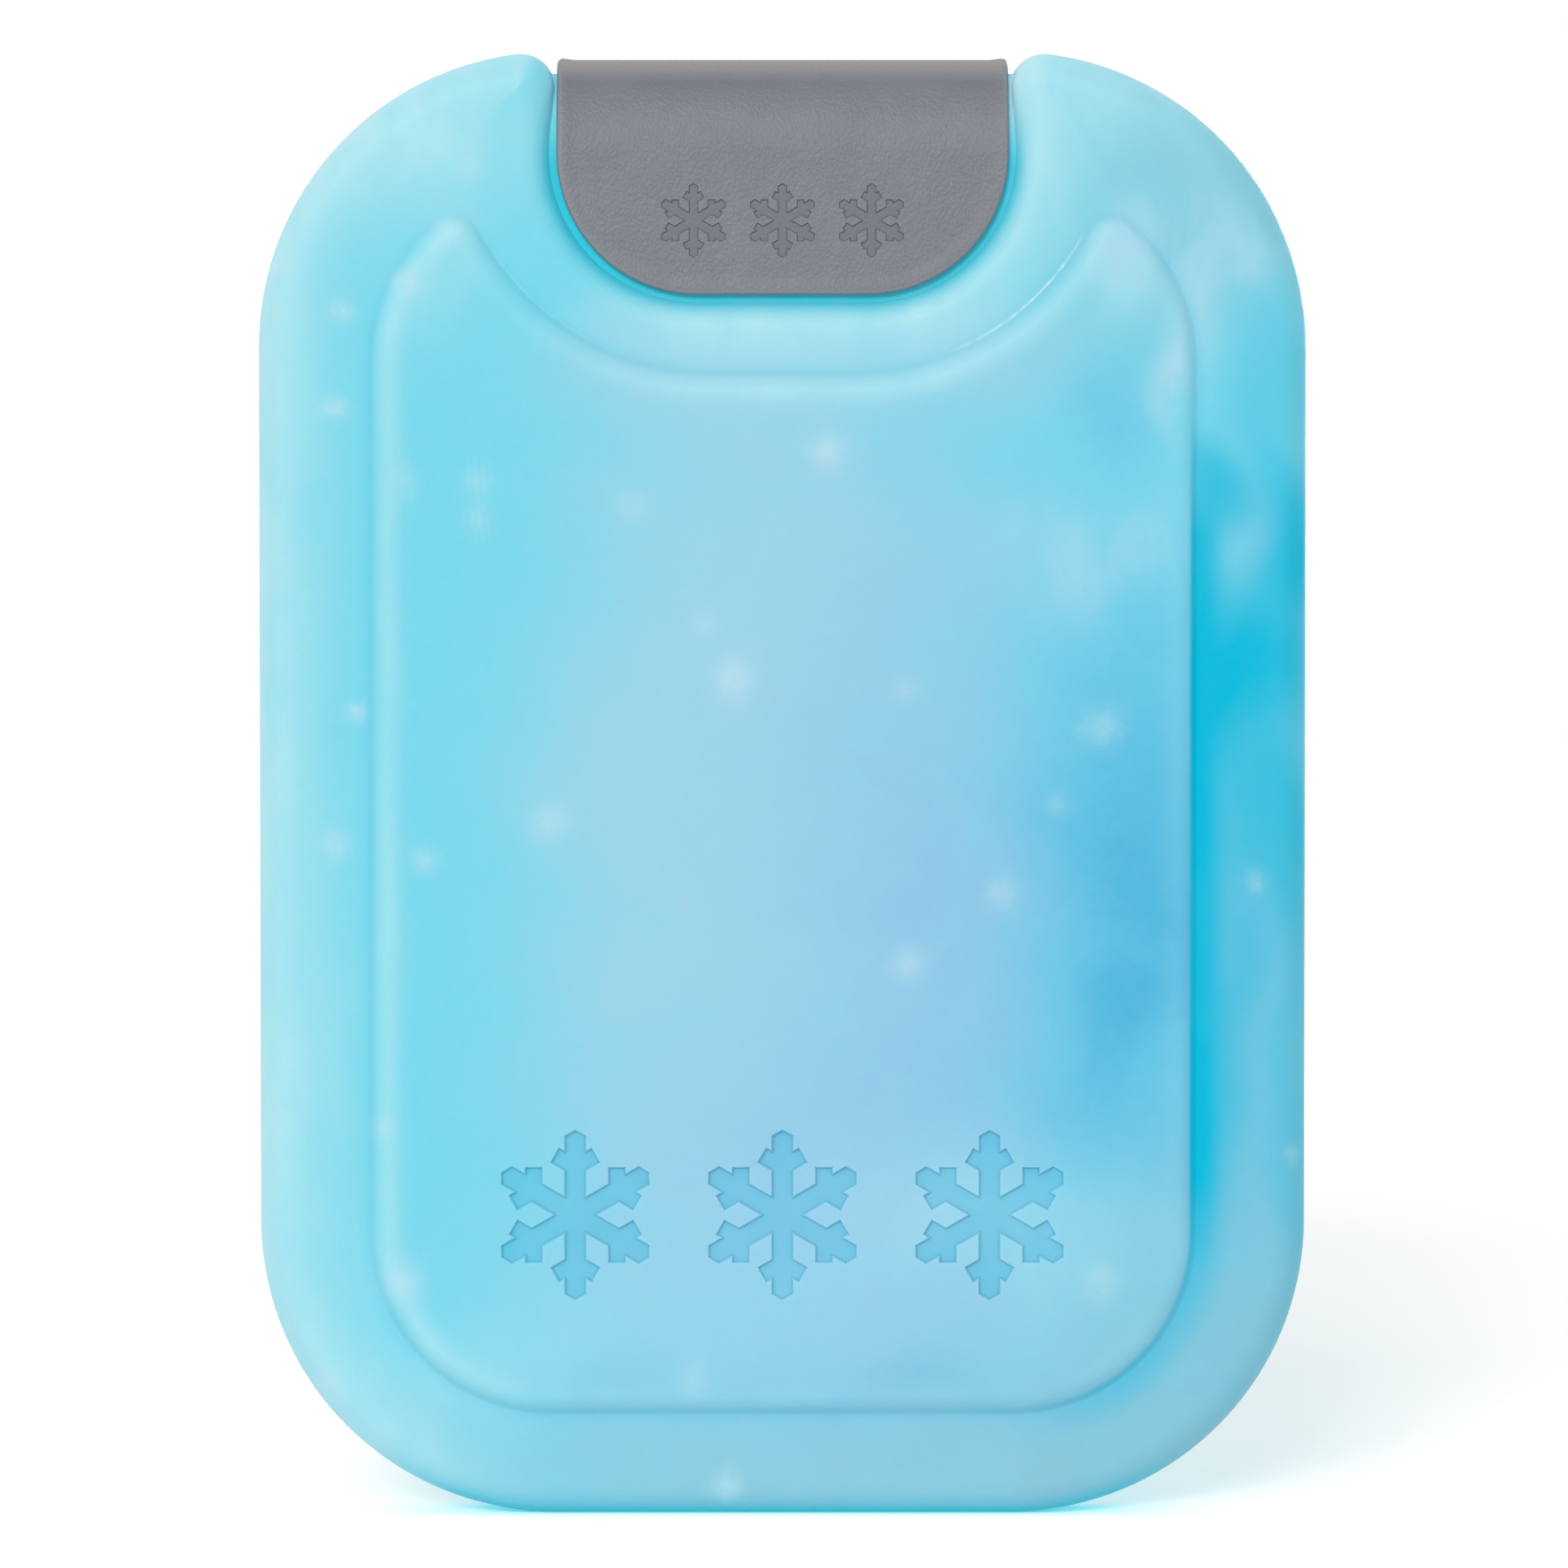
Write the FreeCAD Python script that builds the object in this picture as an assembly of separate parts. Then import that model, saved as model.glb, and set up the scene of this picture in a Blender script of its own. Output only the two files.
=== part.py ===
"""Reusable ice pack: a thin blow-moulded pack, sealed with its filling, and a soft pull strap.

The pack stands on its lower edge. X runs across it, Y through its thickness with the front at -Y,
and Z up from the floor. The origin is the middle of the base. All lengths are millimetres.

The pack is one hollow moulding, welded shut and full, so it is one solid. Its top edge drops
between two shoulders to a thin neck. The strap is one soft moulding, folded over that neck and
joined to itself by two pegs, which pass through two holes in the neck. The hole that the pack was
filled by is in the neck too, closed by a welded plug under the strap.
"""
import FreeCAD, Part

import math
import os
from collections import Counter

from FreeCAD import Vector

# Pack body
PACK_WIDTH = 142.0
PACK_HEIGHT = 198.0
CORNER_RADIUS = 40.0
RIM_THICKNESS = 15.0
RIM_EDGE_RADIUS = 4.5
SHOULDER_RADIUS = 4.7

# Raised panel, the same on the front and the back
PANEL_PROUD = 1.5
PANEL_SIDE_MARGIN = 14.9
PANEL_BASE_MARGIN = 13.7
PANEL_TOP_MARGIN = 17.0
PANEL_CORNER_RADIUS = 25.0
PANEL_BAY_BELOW_STRAP = 10.2
PANEL_BAY_BESIDE_STRAP = 14.4
PANEL_BAY_RADIUS = 35.6
PANEL_HORN_RADIUS = 4.0
PANEL_EDGE_RADIUS = 3.2

# Neck, the thin bar that the strap is folded over. Its crown is a pointed arch of three arcs.
NECK_THICKNESS = 10.6
NECK_CROWN_RISE = 10.6
NECK_CROWN_RADIUS = 2.0

# Pull strap
STRAP_WIDTH = 61.0
STRAP_DROP = 32.1
STRAP_THICKNESS = 2.0
STRAP_CORNER_RADIUS = 19.0
STRAP_EDGE_BEVEL = 0.6
STRAP_SIDE_GAP = 0.3
STRAP_SEAT_GAP = 0.1
STRAP_BELOW_SHOULDER = 0.6

# Pegs of the strap, and their holes in the neck
PEG_DIAMETER = 6.0
PEG_SPACING = 34.0
PEG_ABOVE_TIP = 14.0
PEG_CLEARANCE = 0.3

# Filling hole and its plug
PLUG_DIAMETER = 7.0
PLUG_LENGTH = 8.0

# Worked out from the sizes above
STRAP_TOP = PACK_HEIGHT - STRAP_BELOW_SHOULDER
STRAP_TIP = STRAP_TOP - STRAP_DROP
NECK_TOP = STRAP_TOP - STRAP_THICKNESS - STRAP_SEAT_GAP
SEAT_HALF = NECK_THICKNESS / 2 + STRAP_SEAT_GAP
STRAP_HALF = SEAT_HALF + STRAP_THICKNESS
NOTCH_HALF_WIDTH = STRAP_WIDTH / 2 + STRAP_SIDE_GAP
NOTCH_FLOOR = STRAP_TIP - STRAP_SIDE_GAP
NOTCH_RADIUS = STRAP_CORNER_RADIUS + STRAP_SIDE_GAP
PANEL_THICKNESS = RIM_THICKNESS + 2 * PANEL_PROUD
PANEL_HALF_WIDTH = PACK_WIDTH / 2 - PANEL_SIDE_MARGIN
PANEL_TOP = PACK_HEIGHT - PANEL_TOP_MARGIN
PEG_HEIGHT = STRAP_TIP + PEG_ABOVE_TIP
SAME_PLACE = 1e-4


def line(start, end):
    """A straight edge."""
    return Part.LineSegment(start, end).toShape()


def arc(centre, start, end):
    """The short arc from start to end about a centre in the plane y = 0."""
    middle = centre + ((start - centre) + (end - centre)).normalize() * (start - centre).Length
    return Part.Arc(start, middle, end).toShape()


def mirrored_wire(right, base_end, top_end):
    """A closed wire from its right-hand half, with a straight line across at its base and at its top."""
    left = [edge.mirror(Vector(0, 0, 0), Vector(1, 0, 0)) for edge in right]
    across = [line(Vector(-end.x, 0, end.z), end) for end in (base_end, top_end)]
    return Part.Wire(Part.__sortEdges__(right + left + across))


def touch(centre, through, radius):
    """The point of a circle in the direction of another point."""
    return centre + (through - centre).normalize() * radius


def slab(wire, thickness):
    """The wire's face as a plate of that thickness, centred on y = 0."""
    plate = Part.Face(wire).extrude(Vector(0, thickness, 0))
    plate.translate(Vector(0, -thickness / 2, 0))
    return plate


def edges_in_plane(solid, y):
    """The edges that lie wholly in the plane at that y."""
    return [e for e in solid.Edges if max(abs(e.BoundBox.YMin - y), abs(e.BoundBox.YMax - y)) < SAME_PLACE]


def rounded_slab(wire, thickness, radius):
    """A plate whose front and back outlines are rounded over."""
    plate = slab(wire, thickness)
    rims = edges_in_plane(plate, -thickness / 2) + edges_in_plane(plate, thickness / 2)
    return plate.makeFillet(radius, rims)


def pack_outline():
    """The pack seen from the front, with the notch for the strap on top."""
    low = Vector(PACK_WIDTH / 2 - CORNER_RADIUS, 0, CORNER_RADIUS)
    shoulder_centre = Vector(NOTCH_HALF_WIDTH + SHOULDER_RADIUS, 0, PACK_HEIGHT - SHOULDER_RADIUS)

    # The shoulder's arc runs down into the notch's wall. It touches the corner's arc from inside,
    # or a straight top between them where there is room for one.
    room = low.x - shoulder_centre.x
    aside = max(-room, 0)
    rise = math.sqrt((CORNER_RADIUS - SHOULDER_RADIUS) ** 2 - aside**2)
    high = Vector(low.x, 0, shoulder_centre.z - rise)
    outwards = Vector(aside, 0, rise).normalize()
    corner_end = high + outwards * CORNER_RADIUS
    shoulder_start = shoulder_centre + outwards * SHOULDER_RADIUS
    top = [line(corner_end, shoulder_start)] if room > 0 else []
    shoulder_foot = shoulder_centre - Vector(SHOULDER_RADIUS, 0, 0)
    notch_centre = Vector(NOTCH_HALF_WIDTH - NOTCH_RADIUS, 0, NOTCH_FLOOR + NOTCH_RADIUS)
    notch_side = notch_centre + Vector(NOTCH_RADIUS, 0, 0)
    notch_foot = notch_centre - Vector(0, 0, NOTCH_RADIUS)
    base_end = low - Vector(0, 0, CORNER_RADIUS)
    side = Vector(CORNER_RADIUS, 0, 0)
    right = [
        arc(low, base_end, low + side),
        line(low + side, high + side),
        arc(high, high + side, corner_end),
        *top,
        arc(shoulder_centre, shoulder_start, shoulder_foot),
        line(shoulder_foot, notch_side),
        arc(notch_centre, notch_side, notch_foot),
    ]
    return mirrored_wire(right, base_end, notch_foot)


def panel_outline():
    """The raised panel: a rounded rectangle with a bay round the strap, which leaves a horn on each side."""
    corner = PANEL_CORNER_RADIUS
    bay = PANEL_BAY_RADIUS
    low = Vector(PANEL_HALF_WIDTH - corner, 0, PANEL_BASE_MARGIN + corner)
    high = Vector(low.x, 0, PANEL_TOP - corner)
    bay_side = STRAP_WIDTH / 2 + PANEL_BAY_BESIDE_STRAP
    bay_floor = STRAP_TIP - PANEL_BAY_BELOW_STRAP
    bay_centre = Vector(bay_side - bay, 0, bay_floor + bay)

    # The horn's tip is a circle outside the bay's arc. It touches the corner's arc from inside,
    # or a straight top where there is room for one.
    to_corner = corner - PANEL_HORN_RADIUS
    to_bay = bay + PANEL_HORN_RADIUS
    tip_height = high.z + to_corner - bay_centre.z
    tip_centre = bay_centre + Vector(math.sqrt(to_bay**2 - tip_height**2), 0, tip_height)
    room = high.x - tip_centre.x
    if room < 0:
        between = bay_centre - high
        along = (between.Length**2 + to_corner**2 - to_bay**2) / (2 * between.Length)
        aside = math.sqrt(to_corner**2 - along**2)
        between.normalize()
        tip_centre = high + between * along + Vector(between.z, 0, -between.x) * aside
    outwards = (tip_centre - high).normalize() if room < 0 else Vector(0, 0, 1)
    corner_end = high + outwards * corner
    tip_start = tip_centre + outwards * PANEL_HORN_RADIUS
    top = [line(corner_end, tip_start)] if room > 0 else []
    tip_end = touch(bay_centre, tip_centre, bay)
    base_end = low - Vector(0, 0, corner)
    bay_foot = bay_centre - Vector(0, 0, bay)
    side = Vector(corner, 0, 0)
    right = [
        arc(low, base_end, low + side),
        line(low + side, high + side),
        arc(high, high + side, corner_end),
        *top,
        arc(tip_centre, tip_start, tip_end),
        arc(bay_centre, tip_end, bay_foot),
    ]
    return mirrored_wire(right, base_end, bay_foot)


def strap_outline(top):
    """The strap's flap seen from the front, drawn on upwards to a height."""
    corner = Vector(STRAP_WIDTH / 2 - STRAP_CORNER_RADIUS, 0, STRAP_TIP + STRAP_CORNER_RADIUS)
    tip_end = corner - Vector(0, 0, STRAP_CORNER_RADIUS)
    side_foot = corner + Vector(STRAP_CORNER_RADIUS, 0, 0)
    side_top = Vector(side_foot.x, 0, top)
    right = [arc(corner, tip_end, side_foot), line(side_foot, side_top)]
    return mirrored_wire(right, tip_end, side_top)


def neck_section_bar(grow, low, width):
    """A bar along X with the neck's section, grown by a distance, from the height low to its crown."""
    half = NECK_THICKNESS / 2
    rise = NECK_CROWN_RISE
    crown = NECK_CROWN_RADIUS
    flank = (half**2 + (rise - crown) ** 2 - crown**2) / (2 * (half - crown))
    spring = NECK_TOP - rise
    crown_centre = Vector(0, 0, NECK_TOP - crown)
    top = crown_centre + Vector(0, 0, crown + grow)
    section = []
    for side in (-1, 1):
        flank_centre = Vector(0, -side * (flank - half), spring)
        foot = Vector(0, side * (half + grow), low)
        flank_start = Vector(0, foot.y, spring)
        flank_end = touch(flank_centre, crown_centre, flank + grow)
        section.append(line(foot, flank_start))
        section.append(arc(flank_centre, flank_start, flank_end))
        section.append(arc(crown_centre, flank_end, top))
    section.append(line(Vector(0, -foot.y, low), foot))
    solid = Part.Face(Part.Wire(Part.__sortEdges__(section))).extrude(Vector(width, 0, 0))
    solid.translate(Vector(-width / 2, 0, 0))
    return solid


def pegs(diameter, length):
    """The two round pegs of the strap, or their holes, through the neck."""
    rods = []
    for x in (-PEG_SPACING / 2, PEG_SPACING / 2):
        rods.append(Part.makeCylinder(diameter / 2, length, Vector(x, -length / 2, PEG_HEIGHT), Vector(0, 1, 0)))
    return rods


def neck_bar():
    """The thin bar between the shoulders. It runs into the pack as deep as the rim is rounded."""
    return neck_section_bar(0, NOTCH_FLOOR - RIM_EDGE_RADIUS, 2 * (NOTCH_HALF_WIDTH + RIM_EDGE_RADIUS))


def plug_bore():
    """The filling hole: a round hole straight down into the top of the neck."""
    above = NECK_THICKNESS
    return Part.makeCylinder(PLUG_DIAMETER / 2, PLUG_LENGTH + above, Vector(0, 0, NECK_TOP - PLUG_LENGTH))


def make_pack_body():
    """The sealed pack: shell and filling as one solid."""
    rim = rounded_slab(pack_outline(), RIM_THICKNESS, RIM_EDGE_RADIUS)
    panel = rounded_slab(panel_outline(), PANEL_THICKNESS, PANEL_EDGE_RADIUS)
    body = rim.fuse([panel, neck_bar()]).removeSplitter()
    peg_holes = pegs(PEG_DIAMETER + 2 * PEG_CLEARANCE, RIM_THICKNESS)
    return body.cut([*peg_holes, plug_bore()])


def make_fill_plug():
    """The round plug that closes the filling hole, trimmed to the neck's crown."""
    return plug_bore().common(neck_bar())


def outer_border(solid, narrowest):
    """The edges round the solid's wide faces, without the ones that two wide faces share."""
    wide = [face for face in solid.Faces if face.BoundBox.XLength > narrowest]
    uses = Counter(edge.hashCode() for face in wide for edge in face.Edges)
    return [edge for face in wide for edge in face.Edges if uses[edge.hashCode()] == 1]


def make_pull_strap():
    """The soft strap: two flaps joined by the fold over the neck and by the pegs through it."""
    low = STRAP_TIP - STRAP_THICKNESS
    fold = neck_section_bar(STRAP_SEAT_GAP + STRAP_THICKNESS, low, STRAP_WIDTH)
    strap = fold.common(slab(strap_outline(2 * STRAP_TOP), 4 * STRAP_HALF))
    tip_width = STRAP_WIDTH - 2 * STRAP_CORNER_RADIUS
    strap = strap.makeChamfer(STRAP_EDGE_BEVEL, outer_border(strap, tip_width + SAME_PLACE))
    strap = strap.cut(neck_section_bar(STRAP_SEAT_GAP, low - STRAP_THICKNESS, 2 * STRAP_WIDTH))
    return strap.fuse(pegs(PEG_DIAMETER, 2 * SEAT_HALF + STRAP_THICKNESS)).removeSplitter()


PARTS = {
    "pack_body": make_pack_body,
    "fill_plug": make_fill_plug,
    "pull_strap": make_pull_strap,
}

os.makedirs("parts", exist_ok=True)
for name, make in PARTS.items():
    shape = make()
    shape.exportStep(f"parts/{name}.step")
    box = shape.optimalBoundingBox()
    print(
        f"{name}: {len(shape.Solids)} solid, valid {shape.isValid()}, {shape.Volume / 1000:.2f} cm3, "
        f"x {box.XMin:.2f} to {box.XMax:.2f}, y {box.YMin:.2f} to {box.YMax:.2f}, "
        f"z {box.ZMin:.2f} to {box.ZMax:.2f}"
    )
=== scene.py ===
# %% [markdown]
# # A reusable ice pack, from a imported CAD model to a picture
# The object is a thin hard ice pack: a blow-moulded polyethylene shell, full of a blue gel that has
# frozen inside it, with a soft grey rubber strap folded over a neck on top. The CAD model gives the
# sizes and carries the weight. This file gives the object the surfaces that the eye sees: a shell
# whose edges flow into each other, clouds and frost in the gel, and a grained strap.
# Every new piece is a surface worked out with numpy, in the same frame as the CAD model.

import math

import bpy
import numpy as np
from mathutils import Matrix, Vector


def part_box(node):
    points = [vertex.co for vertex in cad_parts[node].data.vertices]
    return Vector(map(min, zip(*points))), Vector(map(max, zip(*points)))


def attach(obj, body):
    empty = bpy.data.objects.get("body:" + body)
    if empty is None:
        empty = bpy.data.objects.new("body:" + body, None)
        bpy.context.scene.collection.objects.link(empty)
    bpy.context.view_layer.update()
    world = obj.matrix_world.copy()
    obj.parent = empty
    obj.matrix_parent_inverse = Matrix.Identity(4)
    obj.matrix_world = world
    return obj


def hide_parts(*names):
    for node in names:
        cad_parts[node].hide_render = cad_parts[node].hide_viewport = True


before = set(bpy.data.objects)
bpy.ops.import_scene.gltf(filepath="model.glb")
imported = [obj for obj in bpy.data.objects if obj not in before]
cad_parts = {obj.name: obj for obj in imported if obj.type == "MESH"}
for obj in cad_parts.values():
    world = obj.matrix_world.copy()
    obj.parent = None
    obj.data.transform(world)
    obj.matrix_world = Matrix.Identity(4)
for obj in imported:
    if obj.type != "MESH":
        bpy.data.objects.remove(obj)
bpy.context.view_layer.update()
print("nodes:", sorted(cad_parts))

# %% [markdown]
# ## Sizes
# Lengths are worked in millimetres, because that is how a mould maker would read them, and turned
# into metres only when a mesh is made. What the CAD model knows is read from it: the boxes of its
# nodes. The other sizes are those of the same drawing, each written once.

# %% Sizes read from the model
METRE = 1000.0


def node_box(name):
    """The lowest and highest corner of a CAD node, in millimetres."""
    return [np.array(corner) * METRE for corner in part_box(name)]


body_high = node_box("pack_body")[1]
strap_low, strap_high = node_box("pull_strap")
plug_low, plug_high = node_box("fill_plug")
HALF_WIDTH = round(body_high[0], 2)
HEIGHT = round(body_high[2], 2)
PANEL_FACE = round(body_high[1], 2)
STRAP_HALF_WIDTH = round(strap_high[0], 2)
STRAP_FACE = round(strap_high[1], 2)
STRAP_TOP = round(strap_high[2], 2)
STRAP_TIP = round(strap_low[2], 2)
print("half width", HALF_WIDTH, "height", HEIGHT, "strap", STRAP_TIP, "to", STRAP_TOP)

# %% Sizes of the shell
CORNER_RADIUS = 40.0
SHOULDER_RADIUS = 4.7
RIM_FACE = 7.5
RIM_RADIUS = 4.5
STRAP_SIDE_GAP = 0.3
STRAP_CORNER = 19.0
NOTCH_HALF_WIDTH = STRAP_HALF_WIDTH + STRAP_SIDE_GAP
NOTCH_FLOOR = STRAP_TIP - STRAP_SIDE_GAP
NOTCH_RADIUS = STRAP_CORNER + STRAP_SIDE_GAP
PANEL_HALF_WIDTH = 56.1
PANEL_BASE = 13.7
PANEL_TOP = 181.0
PANEL_CORNER = 25.0
BAY_BELOW_STRAP = 10.2
BAY_BESIDE_STRAP = 14.4
BAY_RADIUS = 35.6
HORN_RADIUS = 4.0
PANEL_SHOULDER = 3.2

# %% Sizes of the neck, the strap and the holes
STRAP_THICKNESS = 2.0
SEAT_GAP = 0.1
NECK_HALF = STRAP_FACE - STRAP_THICKNESS - SEAT_GAP
NECK_TOP = STRAP_TOP - STRAP_THICKNESS - SEAT_GAP
NECK_RISE = 10.6
CROWN_RADIUS = 2.0
PEG_RADIUS = 3.0
PEG_CLEARANCE = 0.3
PEG_X = 17.0
PEG_Z = STRAP_TIP + 14.0
PLUG_RADIUS = (plug_high[0] - plug_low[0]) / 2
PLUG_FOOT = plug_low[2]
print("neck half thickness", round(NECK_HALF, 2), "neck top", round(NECK_TOP, 2))

# %% [markdown]
# ## Meshes and booleans
# A grid of points becomes a mesh by handing whole arrays to Blender. Small solids, such as a bar,
# a bore or a stamp, are rings of points carried along a path, with a flat face on each end.
# A solid is turned right side out by the sign of its volume. A boolean modifier then joins or cuts,
# and its result takes the place of the mesh, so that no modifier is left live.

# %% Meshes from arrays
def make_mesh(name, points, faces):
    """An object with these points, in millimetres, and faces, turned right side out."""
    mesh = bpy.data.meshes.new(name)
    mesh.from_pydata((points / METRE).tolist(), [], faces)
    mesh.validate()
    piece = bpy.data.objects.new(name, mesh)
    bpy.context.scene.collection.objects.link(piece)
    mesh.calc_loop_triangles()
    corners = np.zeros(len(mesh.loop_triangles) * 3, np.int32)
    mesh.loop_triangles.foreach_get("vertices", corners)
    a, b, c = np.moveaxis(points[corners].reshape(-1, 3, 3), 1, 0)
    if np.einsum("ij,ij->", a, np.cross(b, c)) < 0:
        mesh.flip_normals()
    return piece


def grid_faces(index, closed=False):
    """The quads of a grid of point indices. A closed grid joins its last column to its first."""
    if closed:
        index = np.column_stack([index, index[:, 0]])
    corners = index[:-1, :-1], index[:-1, 1:], index[1:, 1:], index[1:, :-1]
    return np.stack(corners, axis=-1).reshape(-1, 4).tolist()


def ring_solid(rings):
    """Points and faces of the solid whose skin passes through rings of points, with flat ends."""
    count, size, _ = rings.shape
    index = np.arange(count * size).reshape(count, size)
    ends = [index[0, ::-1].tolist(), index[-1].tolist()]
    return rings.reshape(-1, 3), grid_faces(index, closed=True) + ends


def make_solids(name, parts):
    """One object from several ring solids that don't touch."""
    points, faces, offset = [], [], 0
    for rings in parts:
        part_points, part_faces = ring_solid(rings)
        points.append(part_points)
        faces += [[i + offset for i in face] for face in part_faces]
        offset += len(part_points)
    return make_mesh(name, np.vstack(points), faces)


def combine(piece, tool, operation):
    """Joins a tool to a piece or cuts it out, and removes the tool."""
    modifier = piece.modifiers.new(operation, "BOOLEAN")
    modifier.object = tool
    modifier.operation = operation
    modifier.solver = "MANIFOLD"
    depsgraph = bpy.context.evaluated_depsgraph_get()
    result = bpy.data.meshes.new_from_object(piece.evaluated_get(depsgraph))
    piece.modifiers.clear()
    piece.data = result
    bpy.data.objects.remove(tool)


# %% Numbers of a mesh and soft steps
def mesh_points(piece):
    """The points of a mesh, in millimetres."""
    flat = np.zeros(len(piece.data.vertices) * 3, np.float32)
    piece.data.vertices.foreach_get("co", flat)
    return flat.reshape(-1, 3).astype(float) * METRE


def store(piece, name, values):
    """Keeps one number for each point of a mesh, for a material to read."""
    layer = piece.data.attributes.new(name, "FLOAT", "POINT")
    layer.data.foreach_set("value", values.astype(np.float32))


def smooth(piece, sharp):
    """Shades a piece smooth, apart from edges that turn by more than an angle in degrees."""
    piece.data.shade_smooth()
    piece.data.set_sharp_from_angle(angle=math.radians(sharp))


def ease(t):
    """A soft step from 0 to 1 as t goes from 0 to 1: 3t^2 - 2t^3."""
    t = np.clip(t, 0, 1)
    return t * t * (3 - 2 * t)


def ramp(value, start, end):
    """A soft step from 0 where a value is start to 1 where it is end."""
    return ease((value - start) / (end - start))


def bell(value, centre, width):
    """exp(-((value - centre) / width)^2)."""
    return np.exp(-(((value - centre) / width) ** 2))


# %% [markdown]
# ## The two outlines
# Seen from the front, the shell has two outlines: its own, with the notch for the strap, and that
# of the raised panel, whose horns reach up on both sides of the strap. Both are lines and arcs that
# run smoothly into each other. A point list traced by hand would be lumpy, so each stretch is
# sampled by its formula, with the direction that points out of the body. Both outlines get the same
# number of points on matching stretches, so that one grid can run from the first to the second.

# %% Stretches of an outline
STRETCHES = {
    "base": 24,
    "corner": 36,
    "side": 100,
    "top": 30,
    "horn": 12,
    "wall": 6,
    "bay": 21,
    "foot": 9,
}


def line(start, end, count):
    """Evenly spaced points from start up to end, with the direction to the right of the way."""
    way = np.subtract(end, start)
    share = np.arange(count)[:, None] / count
    out = np.array([way[1], -way[0]]) / np.hypot(*way)
    return start + share * way, np.tile(out, (count, 1))


def arc(centre, radius, first, last, count, hollow=False):
    """centre + radius (cos a, sin a) for the angle a from first up to last, in degrees.

    The way out is along the ray, or against it where the arc is a hollow in the outline."""
    angle = np.radians(first + (last - first) * np.arange(count) / count)
    ray = np.column_stack([np.cos(angle), np.sin(angle)])
    return centre + radius * ray, -ray if hollow else ray


def heading(start, end):
    """The direction from one point to another, in degrees."""
    return math.degrees(math.atan2(end[1] - start[1], end[0] - start[0]))


def whole_loop(stretches, top):
    """The closed loop from the stretches of its right-hand half and the point at its top middle.

    It starts at the bottom middle and runs anticlockwise. Its left half mirrors the right one."""
    points = np.vstack([s[0] for s in stretches])
    outwards = np.vstack([s[1] for s in stretches])
    mirror = np.array([-1.0, 1.0])
    points = np.vstack([points, [top], points[:0:-1] * mirror])
    outwards = np.vstack([outwards, [(0.0, 1.0)], outwards[:0:-1] * mirror])
    return points, outwards


# %% The outline of the shell
def shell_outline():
    """The shell's outline: a rounded rectangle with a notch between two shoulders at its top."""
    low = np.array([HALF_WIDTH - CORNER_RADIUS, CORNER_RADIUS])
    shoulder = np.array([NOTCH_HALF_WIDTH + SHOULDER_RADIUS, HEIGHT - SHOULDER_RADIUS])
    rise = math.sqrt((CORNER_RADIUS - SHOULDER_RADIUS) ** 2 - (shoulder[0] - low[0]) ** 2)
    high = np.array([low[0], shoulder[1] - rise])
    turn = heading(high, shoulder)
    notch = np.array([NOTCH_HALF_WIDTH - NOTCH_RADIUS, NOTCH_FLOOR + NOTCH_RADIUS])
    n = STRETCHES
    half = [
        line((0, 0), (low[0], 0), n["base"]),
        arc(low, CORNER_RADIUS, -90, 0, n["corner"]),
        line((HALF_WIDTH, low[1]), (HALF_WIDTH, high[1]), n["side"]),
        arc(high, CORNER_RADIUS, 0, turn, n["top"]),
        arc(shoulder, SHOULDER_RADIUS, turn, 180, n["horn"]),
        line((NOTCH_HALF_WIDTH, shoulder[1]), (NOTCH_HALF_WIDTH, notch[1]), n["wall"]),
        arc(notch, NOTCH_RADIUS, 0, -90, n["bay"], hollow=True),
        line((notch[0], NOTCH_FLOOR), (0, NOTCH_FLOOR), n["foot"]),
    ]
    return whole_loop(half, (0, NOTCH_FLOOR))


# %% The outline of the panel
def panel_outline():
    """The panel's outline: a rounded rectangle with a bay round the strap and a horn on each side.

    The tip of a horn is a small circle that touches the corner's arc from inside and the bay's
    arc from outside, so its centre is where two circles round their centres cross."""
    low = np.array([PANEL_HALF_WIDTH - PANEL_CORNER, PANEL_BASE + PANEL_CORNER])
    high = np.array([low[0], PANEL_TOP - PANEL_CORNER])
    bay_side, bay_floor = STRAP_HALF_WIDTH + BAY_BESIDE_STRAP, STRAP_TIP - BAY_BELOW_STRAP
    bay = np.array([bay_side - BAY_RADIUS, bay_floor + BAY_RADIUS])
    to_corner, to_bay = PANEL_CORNER - HORN_RADIUS, BAY_RADIUS + HORN_RADIUS
    apart = np.hypot(*(bay - high))
    along = (apart**2 + to_corner**2 - to_bay**2) / (2 * apart)
    aside = math.sqrt(to_corner**2 - along**2)
    way = (bay - high) / apart
    tip = high + way * along + np.array([way[1], -way[0]]) * aside
    turn, back = heading(high, tip), heading(tip, bay)
    n = STRETCHES
    half = [
        line((0, PANEL_BASE), (low[0], PANEL_BASE), n["base"]),
        arc(low, PANEL_CORNER, -90, 0, n["corner"]),
        line((PANEL_HALF_WIDTH, low[1]), (PANEL_HALF_WIDTH, high[1]), n["side"]),
        arc(high, PANEL_CORNER, 0, turn, n["top"]),
        arc(tip, HORN_RADIUS, turn, back, n["horn"]),
        arc(bay, BAY_RADIUS, back - 180, -90, n["wall"] + n["bay"], hollow=True),
        line((bay[0], bay_floor), (0, bay_floor), n["foot"]),
    ]
    return whole_loop(half, (0, bay_floor))


shell_line, shell_out = shell_outline()
panel_line, panel_out = panel_outline()
print("outline points:", len(shell_line), len(panel_line))

# %% [markdown]
# ## The shell
# A blow-moulded shell has no sharp outer edge: the side rolls over into a flat band, and the panel
# rises from the band in a small hollow and ends in a soft shoulder. Boxes with bevels would
# give one radius everywhere. Here the skin is a stack of loops, from the parting line at the middle
# of the side inwards over the band and the shoulder, down to a plain rectangle in the middle of the
# panel, which a square grid fills. Each loop is an outline moved inwards, at a height that a short
# formula gives. The back is the front mirrored, as both halves of a mould are alike.

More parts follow.
